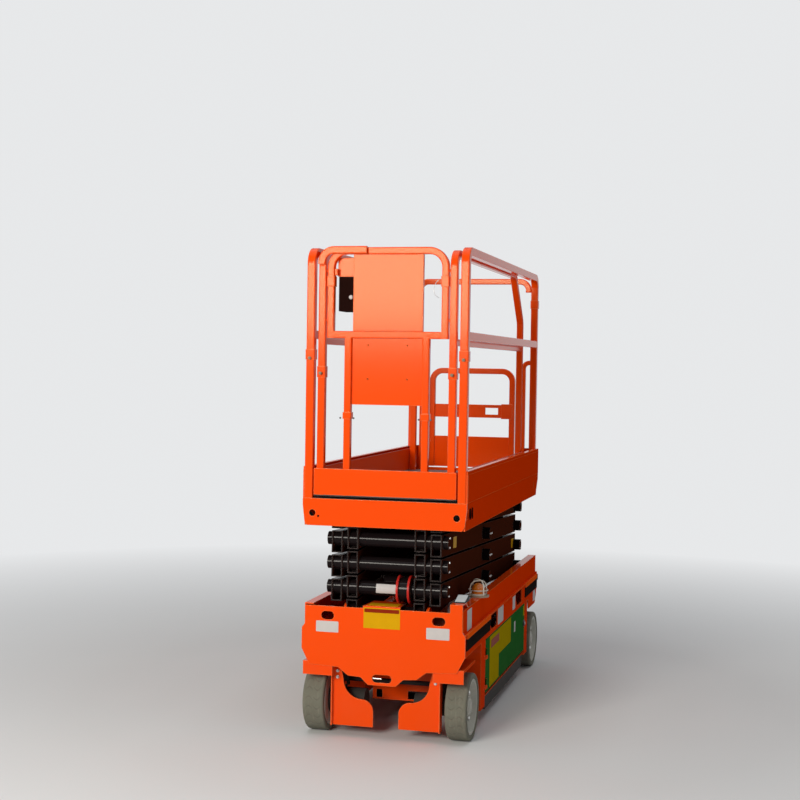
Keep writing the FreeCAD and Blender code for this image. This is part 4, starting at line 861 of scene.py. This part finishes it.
# Below the edge level the roll-out deck is near black: painted shade in the gap under the toe board. It is grey above
# that and orange above the toe level.
roll_out_deck = painted("roll_out_deck", (0.006, 0.006, 0.006, 1), (0.20, 0.20, 0.20, 1), roughness=0.45, level=0.1,
                        grime=0.0, tone=0.2, bands=((SHADED_EDGE_TOP, GREY_STEEL), (TOE_LEVEL, ORANGE)))
lock_pin = painted("lock_pin", (0.20, 0.13, 0.07, 1), (0.45, 0.34, 0.20, 1), roughness=0.42, level=0.35, grime=0.0,
                   tone=0.3)

tread_plate, plate_in = new_rule("tread_plate", {**PLATE, "Width": 0.6, "Length": 1.9, "Finish": None})
columns = plate_in["Width"] / plate_in["Pitch"]
rows = plate_in["Length"] / plate_in["Pitch"]
field = tread_plate.node("GeometryNodeMeshGrid", {}, {"Size X": plate_in["Width"], "Size Y": plate_in["Length"],
                                                      "Vertices X": columns, "Vertices Y": rows}, "Mesh")
spot = tread_plate.node("GeometryNodeInputPosition")
step_x = tread_plate.node("ShaderNodeSeparateXYZ", {}, {0: spot}, "X") / (
    plate_in["Width"] / (columns.shaped("FLOOR") - 1.0))
step_y = tread_plate.node("ShaderNodeSeparateXYZ", {}, {0: spot}, "Y") / (
    plate_in["Length"] / (rows.shaped("FLOOR") - 1.0))
parity = step_x.math("FLOORED_MODULO", (step_x + step_y + 100.25).shaped("ROUND"), 2.0)
angle = parity * (math.pi / 2) + (math.pi / 4) + chance(tread_plate, -0.03, 0.03, plate_in["Seed"])
tilt = tread_plate.node("ShaderNodeCombineXYZ", {}, {"Z": angle})
size = tread_plate.node("ShaderNodeCombineXYZ", {}, {"X": plate_in["Lozenge length"],
                                                     "Y": plate_in["Lozenge length"] * 0.32,
                                                     "Z": plate_in["Height"]})
laid = tread_plate.node("GeometryNodeInstanceOnPoints", {}, {"Points": field, "Rotation": tilt, "Scale": size,
                                                             "Instance": cone(tread_plate, 10, 0.34, 0.5, 1.0)})
end_rule(tread_plate, laid, plate_in["Finish"])


def lozenges(name, body, centre, width, length):
    """Raised lozenges on a deck, with their place in the mesh."""
    values = {**PLATE, "Width": width, "Length": length, "Finish": deck_grey}
    piece = grown(linked(name, bpy.data.meshes.new(name)), tread_plate, values)
    piece.data.transform(Matrix.Translation(centre))
    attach(piece, body)


deck_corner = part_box("deck")[1]
field_front, field_rear = 0.52, deck_corner.y - 0.02
lozenges("deck_lozenges", "platform", (0, (field_front + field_rear) / 2, deck_corner.z), 0.64,
         field_rear - field_front)
lozenges("roll_out_lozenges", "extension", (0, -0.262, 1.108), 0.54, 1.48)

SILL_FACE, SIDE_SILL_FACE, PANEL_FACE, PIN_FACE = -1.035, 0.380, -1.0117, -1.0317
CORNER_BOLT = (0.016, 0.006, 0.034, 6, 0.8)
SILL_PLUG = (0.008, 0.0016, 0.010, 12, 0.8)
LATCH_BOLT = (0.014, 0.006, 0.018, 6, 0.8)
RIVET = (0.007, 0.0022, 0.010, 16, 0.6)
FRAME_PIN = (0.007, 0.003, 0.009, 12, 0.7)
sheet("gate_threshold", "platform", (0, 0.902, 1.0925), FORE, rectangle(-0.30, 0.30, 0, 0.023), 0.004, orange)
# The corner bolts, the plug and the slot stickers are pitch black: painted shade in their holes and slots.
spots = [((x, SILL_FACE + 0.008, z), FORE) for x, z in ((-0.347, 1.013), (0.334, 1.027))]
fasteners("sill_corner_bolts", "platform", spots, shade_black, CORNER_BOLT)
fasteners("sill_plug", "platform", [((-0.306, SILL_FACE, 1.013), FORE)], shade_black, SILL_PLUG)
fasteners("gate_latch_bolt", "gate", [((0.189, 0.905, 1.433), FORE)], zinc, LATCH_BOLT)
for hand, side in SIDES.items():
    for y in (-0.960, -0.912):
        label(f"sill_slot_shade_{hand}_{round(-y * 1000)}", "platform", (side * (SIDE_SILL_FACE + 0.0002), y, 1.042),
              OUT[hand], (0.026, 0.050), shade_black, 0.006, 0.0003)
    band = rectangle(side * -1.026, side * 0.970, 1.0945, 1.222)
    sheet(f"sill_band_{hand}", "platform", (side * SIDE_SILL_FACE, 0, 0), OUT[hand], band, 0.002, orange_dull_side_shaded)
spots = [((x, PANEL_FACE, z), FORE) for x in (-0.090, 0.092) for z in (1.787, 1.636)]
fasteners("panel_rivets", "extension", spots, orange, RIVET)
spots = [((x, PIN_FACE, 1.459), FORE) for x in (-0.209, -0.147, 0.154, 0.209)]
fasteners("frame_pins", "extension", spots, dark_zinc, FRAME_PIN)


def bent_wire(name, body, points, radius, surface, sides=8, steps=8):
    """A wire that runs smoothly through points, bent as a Catmull-Rom curve."""
    points = [Vector(p) for p in points]
    ends = [points[0] * 2 - points[1], *points, points[-1] * 2 - points[-2]]
    path = []
    for a, b, c, d in zip(ends, ends[1:], ends[2:], ends[3:]):
        slope, curve, twist = c - a, 2 * a - 5 * b + 4 * c - d, 3 * b - a - 3 * c + d
        path += [0.5 * (2 * b + slope * t + curve * t * t + twist * t ** 3) for t in (k / steps for k in range(steps))]
    path.append(points[-1])
    work = bmesh.new()
    rings = []
    for before, here, after in zip([path[0], *path], path, [*path[1:], path[-1]]):
        turn_to = (after - before).to_track_quat("Z", "Y")
        rings.append([work.verts.new(here + turn_to @ p) for p in circle(radius, sides)])
    skinned(work, rings)
    placed(name, work, surface, body)


LANYARD = ((0.2325, -1.012, 2.082), (0.218, -1.014, 2.066), (0.210, -1.015, 2.038), (0.216, -1.014, 2.014),
           (0.234, -1.012, 2.000))
bent_wire("pin_lanyard", "extension", LANYARD, 0.0014, zinc)

# Control box: a dark moulded case that hangs behind the left gap of the roll-out frame, under an
# orange hood. Its rear face has the stop button, a key switch and the lever, its front a pale knob.
BOX_REAR, BOX_FRONT = -0.8707, -0.9905
FRONT_KNOB = ((0.007, 0), (0.007, 0.004), (0.010, 0.007), (0.008, 0.012))
STOP_COLLAR = ((0.027, 0), (0.027, 0.002), (0.017, 0.004))
STOP_BUTTON = ((0.010, 0), (0.010, 0.010), (0.019, 0.012), (0.020, 0.018), (0.017, 0.023), (0.008, 0.026))
KEY_SWITCH = ((0.011, 0), (0.011, 0.005), (0.008, 0.007))
LEVER = ((0.018, 0), (0.016, 0.005), (0.011, 0.009), (0.012, 0.012), (0.008, 0.016), (0.009, 0.019), (0.005, 0.023),
         (0.005, 0.050), (0.011, 0.056), (0.012, 0.068), (0.008, 0.074))
box_black = painted("control_case", (0.014, 0.005, 0.004, 1), (0.05, 0.03, 0.03, 1), roughness=0.5, level=0.0,
                    grime=0.0, peel=0.0002)
for name, at, axis, profile, surface in (
    ("box_front_knob", (-0.177, BOX_FRONT, 2.003), FORE, FRONT_KNOB, white_label),
    ("stop_collar", (-0.192, BOX_REAR, 2.045), AFT, STOP_COLLAR, yellow_label),
    ("stop_button", (-0.192, BOX_REAR + 0.004, 2.045), AFT, STOP_BUTTON, stop_red),
    ("key_switch", (-0.215, BOX_REAR, 1.985), AFT, KEY_SWITCH, zinc),
    ("drive_lever", (-0.172, BOX_REAR, 1.985), AFT, LEVER, case_black),
):
    lathed(name, "extension", at, axis, profile, surface)

# Beacon: a moulded amber lens with fine ribs, under a cage of bent wire that stands on the channel's
# flange. The foot of the cage is brown, and the wires above it are pale.
LENS_DARK, LENS_BRIGHT = (0.55, 0.10, 0.003, 1), (0.85, 0.25, 0.012, 1)
RIB_SCALE = 1800.0
CAGE_FOOT, CAGE_WIRE, CAGE_FOOT_LEVEL = (0.30, 0.20, 0.12, 1), (0.72, 0.68, 0.60, 1), 0.6235
amber, recipe, shader = finish("amber_lens", Roughness=0.12, Specular_IOR_Level=0.6)
place = own_place(recipe)
lens_height = recipe.node("ShaderNodeSeparateXYZ", {}, {0: place}, "Z")
feed(recipe, shader,
     Base_Color=blend(recipe, noise(recipe, place, 30.0, 2.0), LENS_DARK, LENS_BRIGHT),
     Normal=bumped(recipe, (lens_height * RIB_SCALE).shaped("SINE"), 0.0004))
beacon_cage = painted("beacon_cage", CAGE_FOOT, (0.8, 0.76, 0.7, 1), roughness=0.35, level=0.4, grime=0.0,
                      bands=((CAGE_FOOT_LEVEL, CAGE_WIRE),))

# Every other solid keeps its own shape and takes the finish of its slot. The long side sheets and the
# rear have the dull orange with its painted shade on sideways faces, and two nodes change colour with height.
FINISHES = {
    "orange_paint": orange,
    "grey_paint": guard_grey,
    "block": case_black,
    "rubber": strip_rubber,
    "plated": lock_pin,
    "amber": amber,
    "dark_steel": casting,
    "tyre": rubber_grey,
    "wheel_disc": rim_grey,
    "green_door": door_green,
    "black_paint": arm_black,
    "deck_steel": deck_grey,
    "chrome_rod": chrome,
    "control": box_black,
}
NODE_FINISHES = {"beacon_mount": beacon_cage, "ext_deck": roll_out_deck}
for part in frame["record"]["subparts"]:
    node = part["node"]
    node_finish = NODE_FINISHES.get(node, FINISHES[part["material_slot"]])
    if node.startswith(DULL_NODES):
        node_finish = orange_dull_side_shaded
    for material_slot in frame["nodes"][node].material_slots:
        material_slot.material = node_finish
